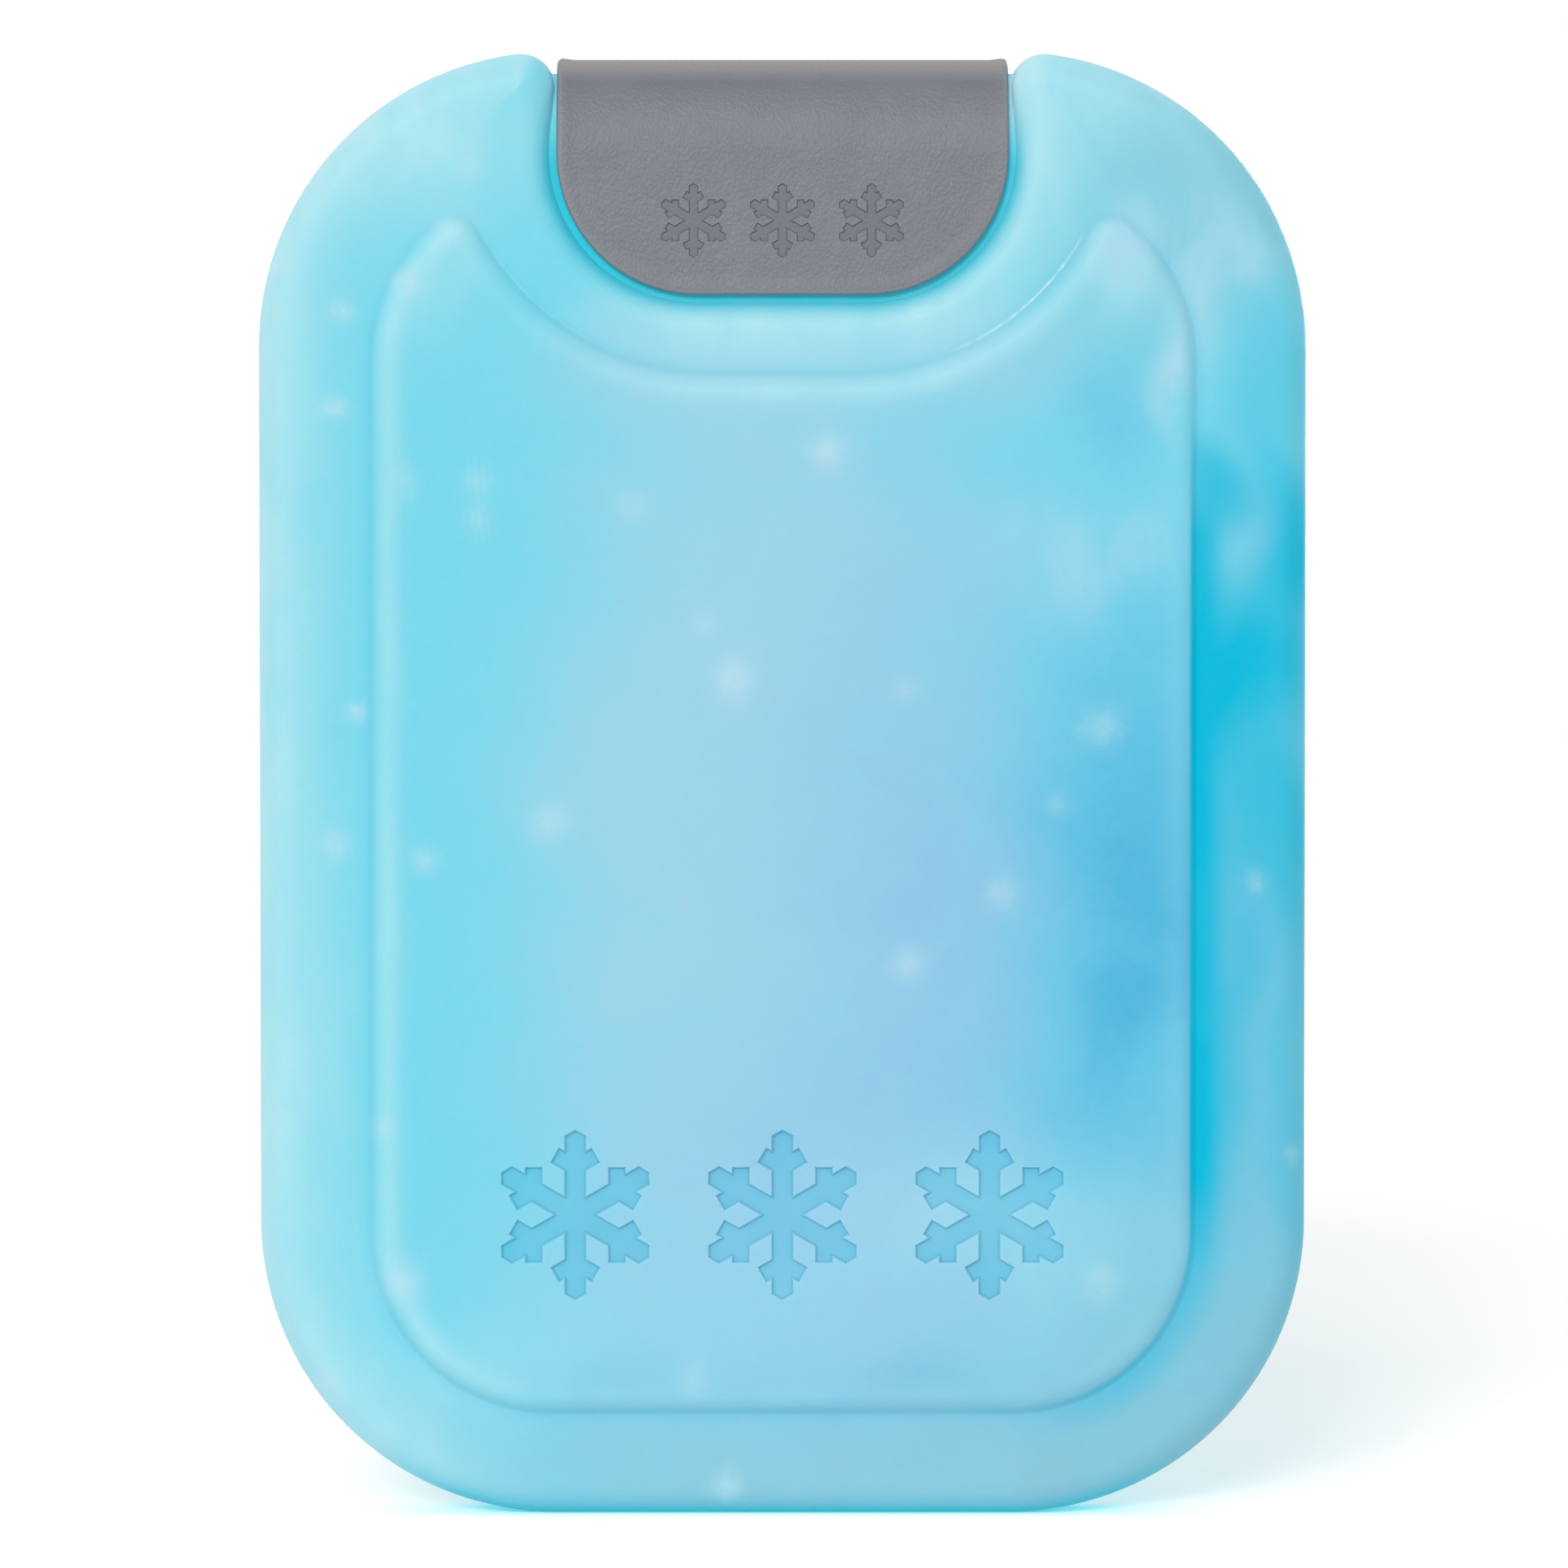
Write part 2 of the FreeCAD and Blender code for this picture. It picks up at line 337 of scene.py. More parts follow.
# %% Heights across the rim and the panel's edge
RIDGE = 0.15
RIDGE_WIDTH = 0.3
SIDE_HEIGHTS = [0.0, 0.15, 0.3, 0.5, 0.9, 1.8, RIM_FACE - RIM_RADIUS]
ROLL_STEP = 10
FOOT_SOFTNESS = 0.8
LAST_OFFSET = 3.3


def rim_rows():
    """Inset and height of the loops from the parting line to the flat band.

    On the side the inset grows from nothing to the ridge's height as one minus a bell curve, which
    leaves the fine ridge of the parting line. A quarter circle follows."""
    height = np.array(SIDE_HEIGHTS)
    inset = RIDGE * (1 - np.exp(-((height / RIDGE_WIDTH) ** 2)))
    turn = np.radians(np.arange(ROLL_STEP, 91, ROLL_STEP))
    rolled = RIM_RADIUS * (1 - np.cos(turn)) + RIDGE * (1 - np.sin(turn))
    rolled_height = RIM_FACE - RIM_RADIUS + RIM_RADIUS * np.sin(turn)
    return np.concatenate([inset, rolled]), np.concatenate([height, rolled_height])


def edge_height(inside):
    """Height at a distance inside the panel's outline: the higher of band and shoulder, blended.

    The shoulder is a quarter circle that ends level with the panel's face. Where band and
    shoulder differ by less than a softness s, (1 - difference / s)^2 s / 4 is added, which fills
    the corner."""
    short = np.clip(PANEL_SHOULDER - inside, 0, PANEL_SHOULDER)
    shoulder = PANEL_FACE - PANEL_SHOULDER + np.sqrt(PANEL_SHOULDER**2 - short**2)
    near = np.clip(1 - np.abs(shoulder - RIM_FACE) / FOOT_SOFTNESS, 0, 1)
    return np.maximum(RIM_FACE, shoulder) + near**2 * FOOT_SOFTNESS / 4


NEAR_OFFSETS = [-0.6, -0.2, 0.0, 0.12, 0.22, 0.32, 0.42, 0.52, 0.64, 0.8]
EDGE_OFFSETS = np.array([*NEAR_OFFSETS, 1.0, 1.25, 1.55, 2.0, 2.6, LAST_OFFSET])
print("panel edge heights:", np.round(edge_height(EDGE_OFFSETS), 2))

# %% Loops from the parting line to the middle of the panel
CORE_HALF_WIDTH = 36.0
CORE_LOW = 36.0
CORE_HIGH = 142.0
ACROSS = 2 * (STRETCHES["base"] + STRETCHES["corner"] // 2)
UP = len(shell_line) // 2 - ACROSS
BAND_LOOPS = 9
BLEND_LOOPS = 20


def core_loop():
    """Column and row in the core grid of each point of the loop round it, in the loop's order."""
    half, right, top = np.arange(ACROSS // 2), np.full(UP, ACROSS), np.full(ACROSS, UP)
    column = np.concatenate([half + ACROSS // 2, right, np.arange(ACROSS, 0, -1), 0 * right, half])
    row = np.concatenate([0 * half, np.arange(UP), top, np.arange(UP, 0, -1), 0 * half])
    return column, row


def core_points(column, row):
    """Evenly spaced points of the rectangle in the middle of the panel."""
    x = CORE_HALF_WIDTH * (2 * column / ACROSS - 1)
    z = CORE_LOW + (CORE_HIGH - CORE_LOW) * row / UP
    return np.stack([x, z], axis=-1)


def front_loops():
    """The loops of the front half as an array of (x, height, z), and the last one's core cells."""
    inset, rim_height = rim_rows()
    rim = shell_line - inset[:, None, None] * shell_out
    edge = panel_line - EDGE_OFFSETS[:, None, None] * panel_out
    band_share = (np.arange(1, BAND_LOOPS) / BAND_LOOPS)[:, None, None]
    band = rim[-1] + band_share * (edge[0] - rim[-1])
    column, row = core_loop()
    core_share = (np.arange(1, BLEND_LOOPS + 1) / BLEND_LOOPS)[:, None, None]
    blend = edge[-1] + core_share * (core_points(column, row) - edge[-1])
    flat = np.vstack([rim, band, edge, blend])
    band_height = np.full(len(band), RIM_FACE)
    face_height = np.full(len(blend), PANEL_FACE)
    height = np.concatenate([rim_height, band_height, edge_height(EDGE_OFFSETS), face_height])
    high = np.broadcast_to(height[:, None], flat.shape[:2])
    return np.stack([flat[..., 0], high, flat[..., 1]], axis=-1), column, row


# %% Close the skin
SINK = 0.12
WAVES = ((0.11, 0.05, 0.0), (-0.04, 0.13, 1.0), (0.09, -0.09, 2.0))


def sunk(points):
    """Points moved inwards by the slight waves that a blown wall has when it cools.

    The waves are the sum of cos(a x + b z + c) for three sets of a, b and c, some 50 mm long,
    scaled to 0 to 1. They fade out towards the side, so the outline keeps its size."""
    x, y, z = np.moveaxis(points, -1, 0)
    waves = sum(np.cos(a * x + b * z + c) for a, b, c in WAVES)
    depth = SINK * (0.5 + waves / 6) * ease((np.abs(y) - RIM_FACE / 2) / (RIM_FACE / 2))
    return np.stack([x, y - np.sign(y) * depth, z], axis=-1)


def make_shell():
    """The shell's skin: loops from the back's core to the front's, and a grid in each core."""
    loops, column, row = front_loops()
    back = loops[:0:-1]
    front = loops * (1, -1, 1)
    tube = np.vstack([back, front])
    rows, around, _ = tube.shape
    index = np.arange(rows * around).reshape(rows, around)
    faces = grid_faces(index, closed=True)
    points = [tube.reshape(-1, 3)]
    filled = index.size
    for loop, face in ((index[-1], -PANEL_FACE), (index[0], PANEL_FACE)):
        core = np.arange(filled, filled + (UP + 1) * (ACROSS + 1)).reshape(UP + 1, ACROSS + 1)
        inside = np.ones(core.shape, bool)
        inside[row, column] = False
        core[inside] = filled + np.arange(inside.sum())
        core[row, column] = loop
        cell_row, cell_column = np.nonzero(inside)
        flat = core_points(cell_column, cell_row)
        points.append(np.stack([flat[:, 0], np.full(len(flat), face), flat[:, 1]], axis=-1))
        faces += grid_faces(core if face < 0 else core[:, ::-1])
        filled += inside.sum()
    return make_mesh("ice_pack_shell", sunk(np.vstack(points)), faces)


shell = make_shell()
print("shell:", len(shell.data.vertices), "points")

# %% [markdown]
# ## The neck, its holes and the plug's bore
# Between the shoulders the shell narrows to a thin bar, the neck, that the strap is folded over.
# Its section is a pointed arch of three arcs, the crown and two flanks. It shows through the gaps
# beside the strap, so it has to be there, and a boolean joins it to the skin. Two holes for the
# strap's pegs go through it, and the filling hole goes down into it.

# %% The arch that the neck and the strap share
FLANK_RISE = NECK_RISE - CROWN_RADIUS
FLANK_RADIUS = (NECK_HALF**2 + FLANK_RISE**2 - CROWN_RADIUS**2) / (2 * (NECK_HALF - CROWN_RADIUS))
SPRING = NECK_TOP - NECK_RISE
CROWN_CENTRE = NECK_TOP - CROWN_RADIUS
FLANK_CENTRE = FLANK_RADIUS - NECK_HALF
ARCH_TURN = math.atan2(CROWN_CENTRE - SPRING, FLANK_CENTRE)


def over_arch(way, out, reference):
    """Where a distance way from the top of the arch leads, out from the neck's surface.

    The way is measured at the distance reference from the neck. It runs along the crown's arc, the
    flank's arc and then straight down, to the front for a negative way and to the back for a
    positive one. Each stretch is one formula, and the way picks which of them holds."""
    run = np.abs(way)
    crown_end = (CROWN_RADIUS + reference) * (math.pi / 2 - ARCH_TURN)
    flank_end = crown_end + (FLANK_RADIUS + reference) * ARCH_TURN
    crown_turn = math.pi / 2 - run / (CROWN_RADIUS + reference)
    flank_turn = ARCH_TURN - (run - crown_end) / (FLANK_RADIUS + reference)
    crown_y = (CROWN_RADIUS + out) * np.cos(crown_turn)
    crown_z = CROWN_CENTRE + (CROWN_RADIUS + out) * np.sin(crown_turn)
    flank_y = (FLANK_RADIUS + out) * np.cos(flank_turn) - FLANK_CENTRE
    flank_z = SPRING + (FLANK_RADIUS + out) * np.sin(flank_turn)
    stretches = [run < crown_end, run < flank_end]
    y = np.select(stretches, [crown_y, flank_y], NECK_HALF + out)
    z = np.select(stretches, [crown_z, flank_z], SPRING - (run - flank_end))
    return np.sign(way) * y, z


ARCH_LENGTH = CROWN_RADIUS * (math.pi / 2 - ARCH_TURN) + FLANK_RADIUS * ARCH_TURN
print("the neck's arch is", round(2 * ARCH_LENGTH, 1), "mm round")

# %% Join the neck and cut its holes
ROUND = 48
NECK_STEPS = 41
NECK_FOOT = NOTCH_FLOOR - RIM_RADIUS
PEG_PLACES = (-PEG_X, PEG_X)


def neck_rings():
    """The neck's section at both ends of the bar, which reach into the shoulders."""
    way = np.linspace(-1, 1, NECK_STEPS) * (ARCH_LENGTH + SPRING - NECK_FOOT)
    y, z = over_arch(way, 0.0, 0.0)
    reach = NOTCH_HALF_WIDTH + RIM_RADIUS
    return np.stack([np.column_stack([np.full_like(y, x), y, z]) for x in (-reach, reach)])


def rod_rings(radius, start, end):
    """The two end circles of a rod between two points, along Y or Z."""
    turn = np.linspace(0, 2 * math.pi, ROUND, endpoint=False)
    across, other = np.cos(turn) * radius, np.sin(turn) * radius
    still = np.zeros_like(turn)
    along_y = start[1] != end[1]
    circle = np.column_stack([across, still, other] if along_y else [across, other, still])
    return np.stack([np.array(start) + circle, np.array(end) + circle])


def peg_rings(radius, reach):
    """The rods of a radius that run from front to back where the pegs are."""
    return [rod_rings(radius, (x, -reach, PEG_Z), (x, reach, PEG_Z)) for x in PEG_PLACES]


combine(shell, make_solids("neck_bar", [neck_rings()]), "UNION")
holes = peg_rings(PEG_RADIUS + PEG_CLEARANCE, RIM_FACE)
holes.append(rod_rings(PLUG_RADIUS, (0, 0, PLUG_FOOT), (0, 0, STRAP_TOP + NECK_RISE)))
combine(shell, make_solids("holes", holes), "DIFFERENCE")
print("shell with its neck:", len(shell.data.polygons), "faces")

# %% [markdown]
# ## Stamped snow crystals
# A moulded pack often has a motif sunk into its panel, and a smaller one in the strap. Here it is a
# row of three plain six-armed crystals. Bump can't cast a shadow or show from the side, so each
# crystal is a stamp that a boolean cuts out. A stamp flares towards the surface, so that its walls
# have draft and its upper edge is soft, as a mould needs.

# %% A crystal's outline and its stamp
ARM_HALF = 0.11
BRANCH_FROM = 0.54
BRANCH_LENGTH = 0.19
BRANCH_WIDTH = 0.17
TIP_SLOPE = 0.06


def crystal_outline():
    """A six-armed crystal of radius 1, as one closed line round all arms.

    Half an arm is a bar with one branch at 60 degrees. It is mirrored to make the arm, and the arm
    is turned by multiples of 60 degrees."""
    lean = np.array([math.sin(math.pi / 3), math.cos(math.pi / 3)])
    over = np.array([-lean[1], lean[0]])
    foot = np.array([ARM_HALF, BRANCH_FROM])
    branch_end = foot + BRANCH_LENGTH * lean
    branch_top = foot + np.array([0, BRANCH_WIDTH / lean[0]])
    half = np.array(
        [
            [ARM_HALF, ARM_HALF / math.tan(math.pi / 6)],
            foot,
            branch_end,
            branch_end + BRANCH_WIDTH * over,
            branch_top,
            [ARM_HALF, 1 - TIP_SLOPE],
            [0, 1],
        ]
    )
    arm = np.vstack([half, half[-2:0:-1] * (-1, 1)])
    turns = np.radians(60 * np.arange(6))
    spin = np.array([[np.cos(turns), -np.sin(turns)], [np.sin(turns), np.cos(turns)]])
    return np.einsum("ijk,nj->kni", spin, arm).reshape(-1, 2)


def widened(outline, by):
    """A closed outline moved outwards by a distance, with its corners kept as mitres."""
    way = np.roll(outline, -1, axis=0) - outline
    way /= np.hypot(*way.T)[:, None]
    out = np.column_stack([way[:, 1], -way[:, 0]])
    before = np.roll(out, 1, axis=0)
    mitre = (out + before) / (1 + np.sum(out * before, axis=1))[:, None]
    return outline + by * mitre


def doubled_area(outline):
    """Twice the signed area of a closed outline, which is positive if it runs anticlockwise."""
    after = np.roll(outline, -1, axis=0)
    return np.sum(outline[:, 0] * after[:, 1] - outline[:, 1] * after[:, 0])


def stamp_rings(centre, radius, face, depth, soft):
    """A crystal stamp at a centre (x, z) on the front face: its floor, its draft, its soft edge.

    Each level is a depth below the face and how far the outline is widened there."""
    outline = crystal_outline() * radius
    outline = outline if doubled_area(outline) > 0 else outline[::-1]
    levels = [
        (depth, 0.0),
        (depth - 0.5 * soft, 0.12 * soft),
        (soft, 0.5 * soft),
        (0.4 * soft, 0.8 * soft),
        (-soft, 2.2 * soft),
    ]
    rings = []
    for down, out in levels:
        flat = widened(outline, out) + centre
        rings.append(np.column_stack([flat[:, 0], np.full(len(flat), down - face), flat[:, 1]]))
    return np.stack(rings)


def crystal_row(name, z, step, radius, face, depth, soft):
    """One tool of three crystal stamps side by side."""
    stamps = [stamp_rings((side * step, z), radius, face, depth, soft) for side in (-1, 0, 1)]
    return make_solids(name, stamps)


# %% Stamp the panel
MOTIF_Z = 41.0
MOTIF_RADIUS = 11.3
MOTIF_STEP = 28.0
MOTIF_DEPTH = 0.8
MOTIF_SOFT = 0.3
panel_stamps = crystal_row(
    "panel_stamps", MOTIF_Z, MOTIF_STEP, MOTIF_RADIUS, PANEL_FACE, MOTIF_DEPTH, MOTIF_SOFT
)
combine(shell, panel_stamps, "DIFFERENCE")
print("stamped shell:", len(shell.data.polygons), "faces")

# %% [markdown]
# ## Clouds and frost in the gel
# The gel froze unevenly: turquoise where it is clear, a pale lavender blue where fine crystals
# scatter the light, deep cyan where it is clearest, white where frost gathered under the wall. A
# noise texture alone would put these anywhere. So broad patches are placed as soft ovals whose
# edges are bent by slow waves, and their strength is stored at each point of the mesh. The
# material then breaks them up with finer noise.
# One layer is painted shade and not gel: it darkens the shell towards the bottom and the right,
# away from the lamps.

# %% Soft patches
BEND = 1.6
BEND_FINE = 0.9


def bent(x, z):
    """x and z shifted by slow and finer sine waves, so that an oval drawn with them is uneven."""
    shift_x = BEND * np.sin(0.13 * z + 0.6) + BEND_FINE * np.sin(0.31 * z + 0.1 * x)
    shift_z = BEND * np.sin(0.15 * x + 1.9) + BEND_FINE * np.sin(0.29 * x - 0.09 * z + 0.8)
    return x + shift_x, z + shift_z


def patches(x, z, ovals, firmness):
    """How strongly ovals cover a point: each is its strength times exp(-r^firmness).

    r is the distance from the oval's centre as a share of its half width and half height. Ovals
    that overlap add up like coats of paint: one minus the product of what each leaves free."""
    bare = np.ones_like(x)
    for centre_x, centre_z, half_x, half_z, strength in ovals:
        r = np.hypot((x - centre_x) / half_x, (z - centre_z) / half_z)
        bare *= 1 - strength * np.exp(-(r**firmness))
    return 1 - bare


# %% Where the gel is hazy, violet, blue, milky, frosted and deep, and where shade is painted
# Each oval is its centre's x and z, half its width and height, and its strength.
HAZE = [(-2, 88, 33, 76, 1.0), (0, 155, 32, 10, 0.5), (4, 30, 44, 22, 0.6), (31, 158, 13, 8, 0.5)]
VIOLET = [(20, 80, 20, 50, 0.75), (8, 40, 32, 26, 0.35)]
SKY = [
    (47, 84, 14, 38, 0.94),
    (64, 50, 9, 50, 0.55),
    (46, 151, 6, 7, 0.3),
    (57, 40, 5, 22, 0.4),
    (20, 16, 50, 4, 0.3),
]
# Painted shade: darker towards the bottom and the right, away from the lamps.
PAINTED_SHADE_OVALS = [
    (10, 4, 72, 13, 0.85),
    (60, 20, 26, 24, 0.8),
    (56, 180, 22, 20, 0.65),
    (68, 60, 8, 50, 0.35),
]
MILK = [
    (-52, 188, 22, 11, 0.6),
    (46, 192, 20, 8, 0.35),
    (0, 161, 26, 3, 0.2),
    (-62, 52, 7, 26, 0.25),
    (-42, 20, 14, 8, 0.25),
    (26, 40, 22, 10, 0.3),
    (-47, 168, 6, 8, 0.35),
    (45, 168, 5, 5, 0.5),
]
FROST = [
    (46, 173, 5, 6, 0.6),
    (56, 172, 5, 8, 0.55),
    (63, 168, 4, 5, 0.5),
    (56, 160, 4, 9, 0.5),
    (62, 132, 6, 5, 0.5),
    (40, 131, 15, 7, 0.38),
    (54, 154, 2.5, 8, 0.4),
]
DEEP = [
    (62, 115, 9, 11, 1.0),
    (68, 131, 6, 12, 0.9),
    (58, 137, 5, 7, 0.75),
    (67, 152, 6, 12, 0.4),
    (66, 97, 8, 18, 0.7),
    (60.5, 62, 4, 18, 0.45),
    (70, 60, 4, 50, 0.35),
]
SPOTS = [
    (6, 144, 2.4, 2.6, 0.6),
    (-6.5, 113.5, 2.6, 3.2, 0.6),
    (43, 107, 2.8, 2.6, 0.42),
    (-31.5, 94, 2.4, 2.6, 0.5),
    (29.5, 84.5, 2.0, 2.4, 0.4),
    (17, 75, 2.2, 2.4, 0.5),
    (-41, 140, 1.7, 1.6, 0.45),
    (-41, 135, 1.7, 1.5, 0.45),
    (-51, 140.5, 1.5, 2.2, 0.4),
    (-60.5, 150, 1.7, 1.2, 0.7),
    (-59.5, 163, 1.8, 1.1, 0.6),
    (-57.5, 109, 1.3, 1.1, 0.7),
    (-60.5, 91, 1.6, 1.8, 0.6),
    (-48.5, 89, 1.6, 1.4, 0.6),
    (-51.5, 32, 2.6, 2.8, 0.6),
    (-54, 53, 1.3, 2.0, 0.4),
    (-62, 18, 1.7, 2.2, 0.5),
    (-50.5, 167, 2.0, 1.8, 0.6),
    (-44.5, 174, 2.6, 2.2, 0.5),
    (-42, 183, 1.6, 2.2, 0.4),
    (-7.5, 4, 1.8, 2.4, 0.5),
    (64, 86, 1.2, 1.6, 0.35),
    (69, 49, 1.0, 1.3, 0.35),
    (-10.5, 121, 2.0, 1.8, 0.3),
    (16.5, 112, 1.8, 1.6, 0.3),
    (-20.5, 137, 2.4, 2.2, 0.3),
    (37, 96.5, 1.4, 1.4, 0.3),
    (43, 32, 2.2, 2.6, 0.4),
    (-12, 18.5, 1.8, 2.6, 0.3),
]
LAYERS = {
    "haze": (HAZE, 4.0),
    "violet": (VIOLET, 2.0),
    "sky": (SKY, 2.0),
    "painted_shade": (PAINTED_SHADE_OVALS, 2.0),
    "milk_and_painted_light": (MILK, 2.0),
    "frost": (FROST, 2.5),
    "deep": (DEEP, 3.0),
}

# %% [markdown]
# Some tints follow the shape and not the gel, and they are painted light and shade. Deep cyan along
# the panel's foot, broad on its right side, away from the lamps, and thin in its crease, is painted
# shade. Deep cyan round the strap and along the underside is painted shade with a painted glow.
# Rolled edges that face the lamps, to the left and up, are painted paler as painted light, and so
# is the panel's shoulder, most of all on that side. A thin pale line along the bay is a painted
# glint, and all outer edges get a painted glow. The distance to an outline gives all of them: it is
# the distance to the nearest of its points, measured along the direction that points out there.

# %% Distance to an outline
def outline_distance(x, z, outline, outwards):
    """Distance to the nearest point of an outline, positive inside, and the way out there."""
    nearest = np.empty(len(x), int)
    chunk = 4096
    for first in range(0, len(x), chunk):
        part = slice(first, first + chunk)
        dx = x[part, None] - outline[None, :, 0]
        dz = z[part, None] - outline[None, :, 1]
        nearest[part] = np.argmin(dx * dx + dz * dz, axis=1)
    foot, out = outline[nearest], outwards[nearest]
    return (foot[:, 0] - x) * out[:, 0] + (foot[:, 1] - z) * out[:, 1], out


def coats(*covers):
    """Several covers laid over each other like coats of paint."""
    return 1 - np.prod([1 - np.clip(cover, 0, 1) for cover in covers], axis=0)


# %% Clouds and spots, front and back
BACK_BLEND = 4.0
BACK_SCALE = 0.9
BACK_SHIFT = 8.0
SPOT_FIRMNESS = 2.0
SPOT_SHIFT = 4.0
SPOT_STRENGTH = 0.95
SPOT_LEVEL = 3.5
SPOT_FADE = 2.5


def gel_covers(x, y, z):
    """How strongly each layer of patches, and the spots, cover the points.

    The back has the same kinds of patch in other places: the front's are turned round, turned
    upside down and shifted a little. Across the thickness a soft step mixes the two. Spots fade
    towards the side, where they would run across it as bars."""
    back = ramp(y, -BACK_BLEND, BACK_BLEND)
    back_z = BACK_SCALE * (HEIGHT - z) + BACK_SHIFT
    covers = {}
    for name, (ovals, firmness) in LAYERS.items():
        front_cover = patches(*bent(x, z), ovals, firmness)
        back_cover = patches(*bent(-x, back_z), ovals, firmness)
        covers[name] = front_cover + back * (back_cover - front_cover)
    front_spots = patches(x, z, SPOTS, SPOT_FIRMNESS)
    back_spots = patches(SPOT_SHIFT - BACK_SCALE * x, HEIGHT - z, SPOTS, SPOT_FIRMNESS)
    spots = front_spots * (1 - back) + back_spots * back
    covers["spots"] = SPOT_STRENGTH * spots * ease((np.abs(y) - SPOT_LEVEL) / SPOT_FADE)
    return covers


# %% Tints that follow the shape
# A pair is the start and the end of a soft step, or the centre and width of a bell for a line.
LAMP_WAY = (-1.0, 0.35)
LAMP_SPAN = (-0.6, 0.6)
RIM_PAINTED_LIGHT = 0.8
RIM_REACH = 8.5
SHOULDER_PAINTED_LIGHT = 0.08
SHOULDER_PAINTED_LIGHT_LIT = 0.36
SHOULDER_LINE = (2.9, 1.7)
FOOT_REACH = 3.2
FOOT_SIDE = (-0.1, 0.7)
FOOT_END = (0.8, 1.2)
FOOT_RISE = (28.0, 48.0)
FOOT_FADE = (142.0, 132.0)
FOOT_MIDDLE = 0.97
FOOT_LOW = 0.45
FOOT_LINE = (0.3, 0.9)
FOOT_LINE_COVER = 0.14
NOTCH_MARGIN = 8.0
LIP_SPAN = (3.5, -0.3)
LIP_TOP = (194.0, 182.0)
UNDERSIDE = (-0.75, -1.0)
UNDERSIDE_PAINTED_GLOW = 0.8
BASE_REACH = 1.6
PAINTED_GLINT_LINE = (0.1, 0.14)
PAINTED_GLINT_FROM_Z = 155.0
PAINTED_GLINT_ASIDE = (18.0, 34.0)
PAINTED_GLINT_TOP = (175.0, 169.0)
PAINTED_GLINT_LEFT, PAINTED_GLINT_RIGHT = 0.1, 0.5
MOTIF_MARGIN = 1.0
RECESS_COVER = 0.5
RECESS_START = SINK + 0.1
RECESS_DEPTH = 0.4
EDGE_REACH = 1.2
EDGE_DIMMED = 0.6
SHELL_SHARP = 38


def facing_the_lamps(out):
    """From 0 to 1, how far an outline faces the lamps, to the left and up, for painted light."""
    return ramp(out @ LAMP_WAY, *LAMP_SPAN)


def foot_painted_shade(z, to_panel, edge_out):
    """Painted shade along the panel's foot: a broad band on the right, away from the lamps, and a
    thin line all round in its crease.
    """
    broad = np.exp(-((np.clip(-to_panel, 0, None) / FOOT_REACH) ** 3))
    middle = FOOT_MIDDLE * ramp(z, *FOOT_RISE) * ramp(z, *FOOT_FADE)
    low = FOOT_LOW * (1 - ramp(z, *FOOT_RISE))
    band = broad * ramp(edge_out[:, 0], *FOOT_SIDE) * (middle + low)
    return band, FOOT_LINE_COVER * bell(to_panel, *FOOT_LINE)


def tint_shell():
    """Stores the strength of each tint at each point of the shell."""
    x, y, z = mesh_points(shell).T
    to_shell, rim_out = outline_distance(x, z, shell_line, shell_out)
    to_panel, edge_out = outline_distance(x, z, panel_line, panel_out)
    tints = gel_covers(x, y, z)
    # Painted light: rolled edges and the panel's shoulder are painted paler, most of all where they
    # face the lamps.
    rim = RIM_PAINTED_LIGHT * facing_the_lamps(rim_out) * bell(to_shell, 0, RIM_REACH)
    shoulder_light = SHOULDER_PAINTED_LIGHT + SHOULDER_PAINTED_LIGHT_LIT * facing_the_lamps(edge_out)
    shoulder = shoulder_light * bell(to_panel, *SHOULDER_LINE)
    tints["milk_and_painted_light"] = coats(tints["milk_and_painted_light"], rim, shoulder)
    # Painted shade: deep cyan along the panel's foot, broad on the right, away from the lamps, and
    # thin in the crease.
    deep = (tints["deep"], *foot_painted_shade(z, to_panel, edge_out))
    before_shoulder = 1 - ramp(to_panel, *FOOT_END)
    tints["deep"] = coats(*(before_shoulder * cover for cover in deep))
    # Painted shade and a painted glow: deep cyan round the strap and along the underside.
    in_notch = (np.abs(x) < NOTCH_HALF_WIDTH + NOTCH_MARGIN) & (z > NOTCH_FLOOR - NOTCH_MARGIN)
    lip_painted_shade_and_glow = in_notch * ramp(to_shell, *LIP_SPAN) * ramp(z, *LIP_TOP)
    underside = ramp(rim_out[:, 1], *UNDERSIDE)
    tints["lip_painted_shade_and_glow"] = coats(lip_painted_shade_and_glow, UNDERSIDE_PAINTED_GLOW * underside * bell(to_shell, 0, BASE_REACH))
    # A painted glint: a thin pale line along the bay's foot, mostly on the right.
    in_bay = (z > PAINTED_GLINT_FROM_Z) & (edge_out[:, 0] * x < 0)
    line_cover = bell(to_panel, *PAINTED_GLINT_LINE) * np.where(x > 0, PAINTED_GLINT_RIGHT, PAINTED_GLINT_LEFT)
    fading = ramp(np.abs(x), *PAINTED_GLINT_ASIDE) * ramp(z, *PAINTED_GLINT_TOP)
    tints["painted_glint"] = in_bay * line_cover * fading
    in_motif = (y < 0) & (to_panel > LAST_OFFSET)
    in_motif &= np.abs(z - MOTIF_Z) < MOTIF_RADIUS + MOTIF_MARGIN
    depth = np.clip((y + PANEL_FACE - RECESS_START) / RECESS_DEPTH, 0, 1)
    tints["recess"] = RECESS_COVER * in_motif * depth
    # A painted glow at all outer edges, weaker underneath and round the strap.
    tints["edge"] = bell(to_shell, 0, EDGE_REACH) * (1 - lip_painted_shade_and_glow) * (1 - EDGE_DIMMED * underside)
    for name, cover in tints.items():
        store(shell, name, cover)


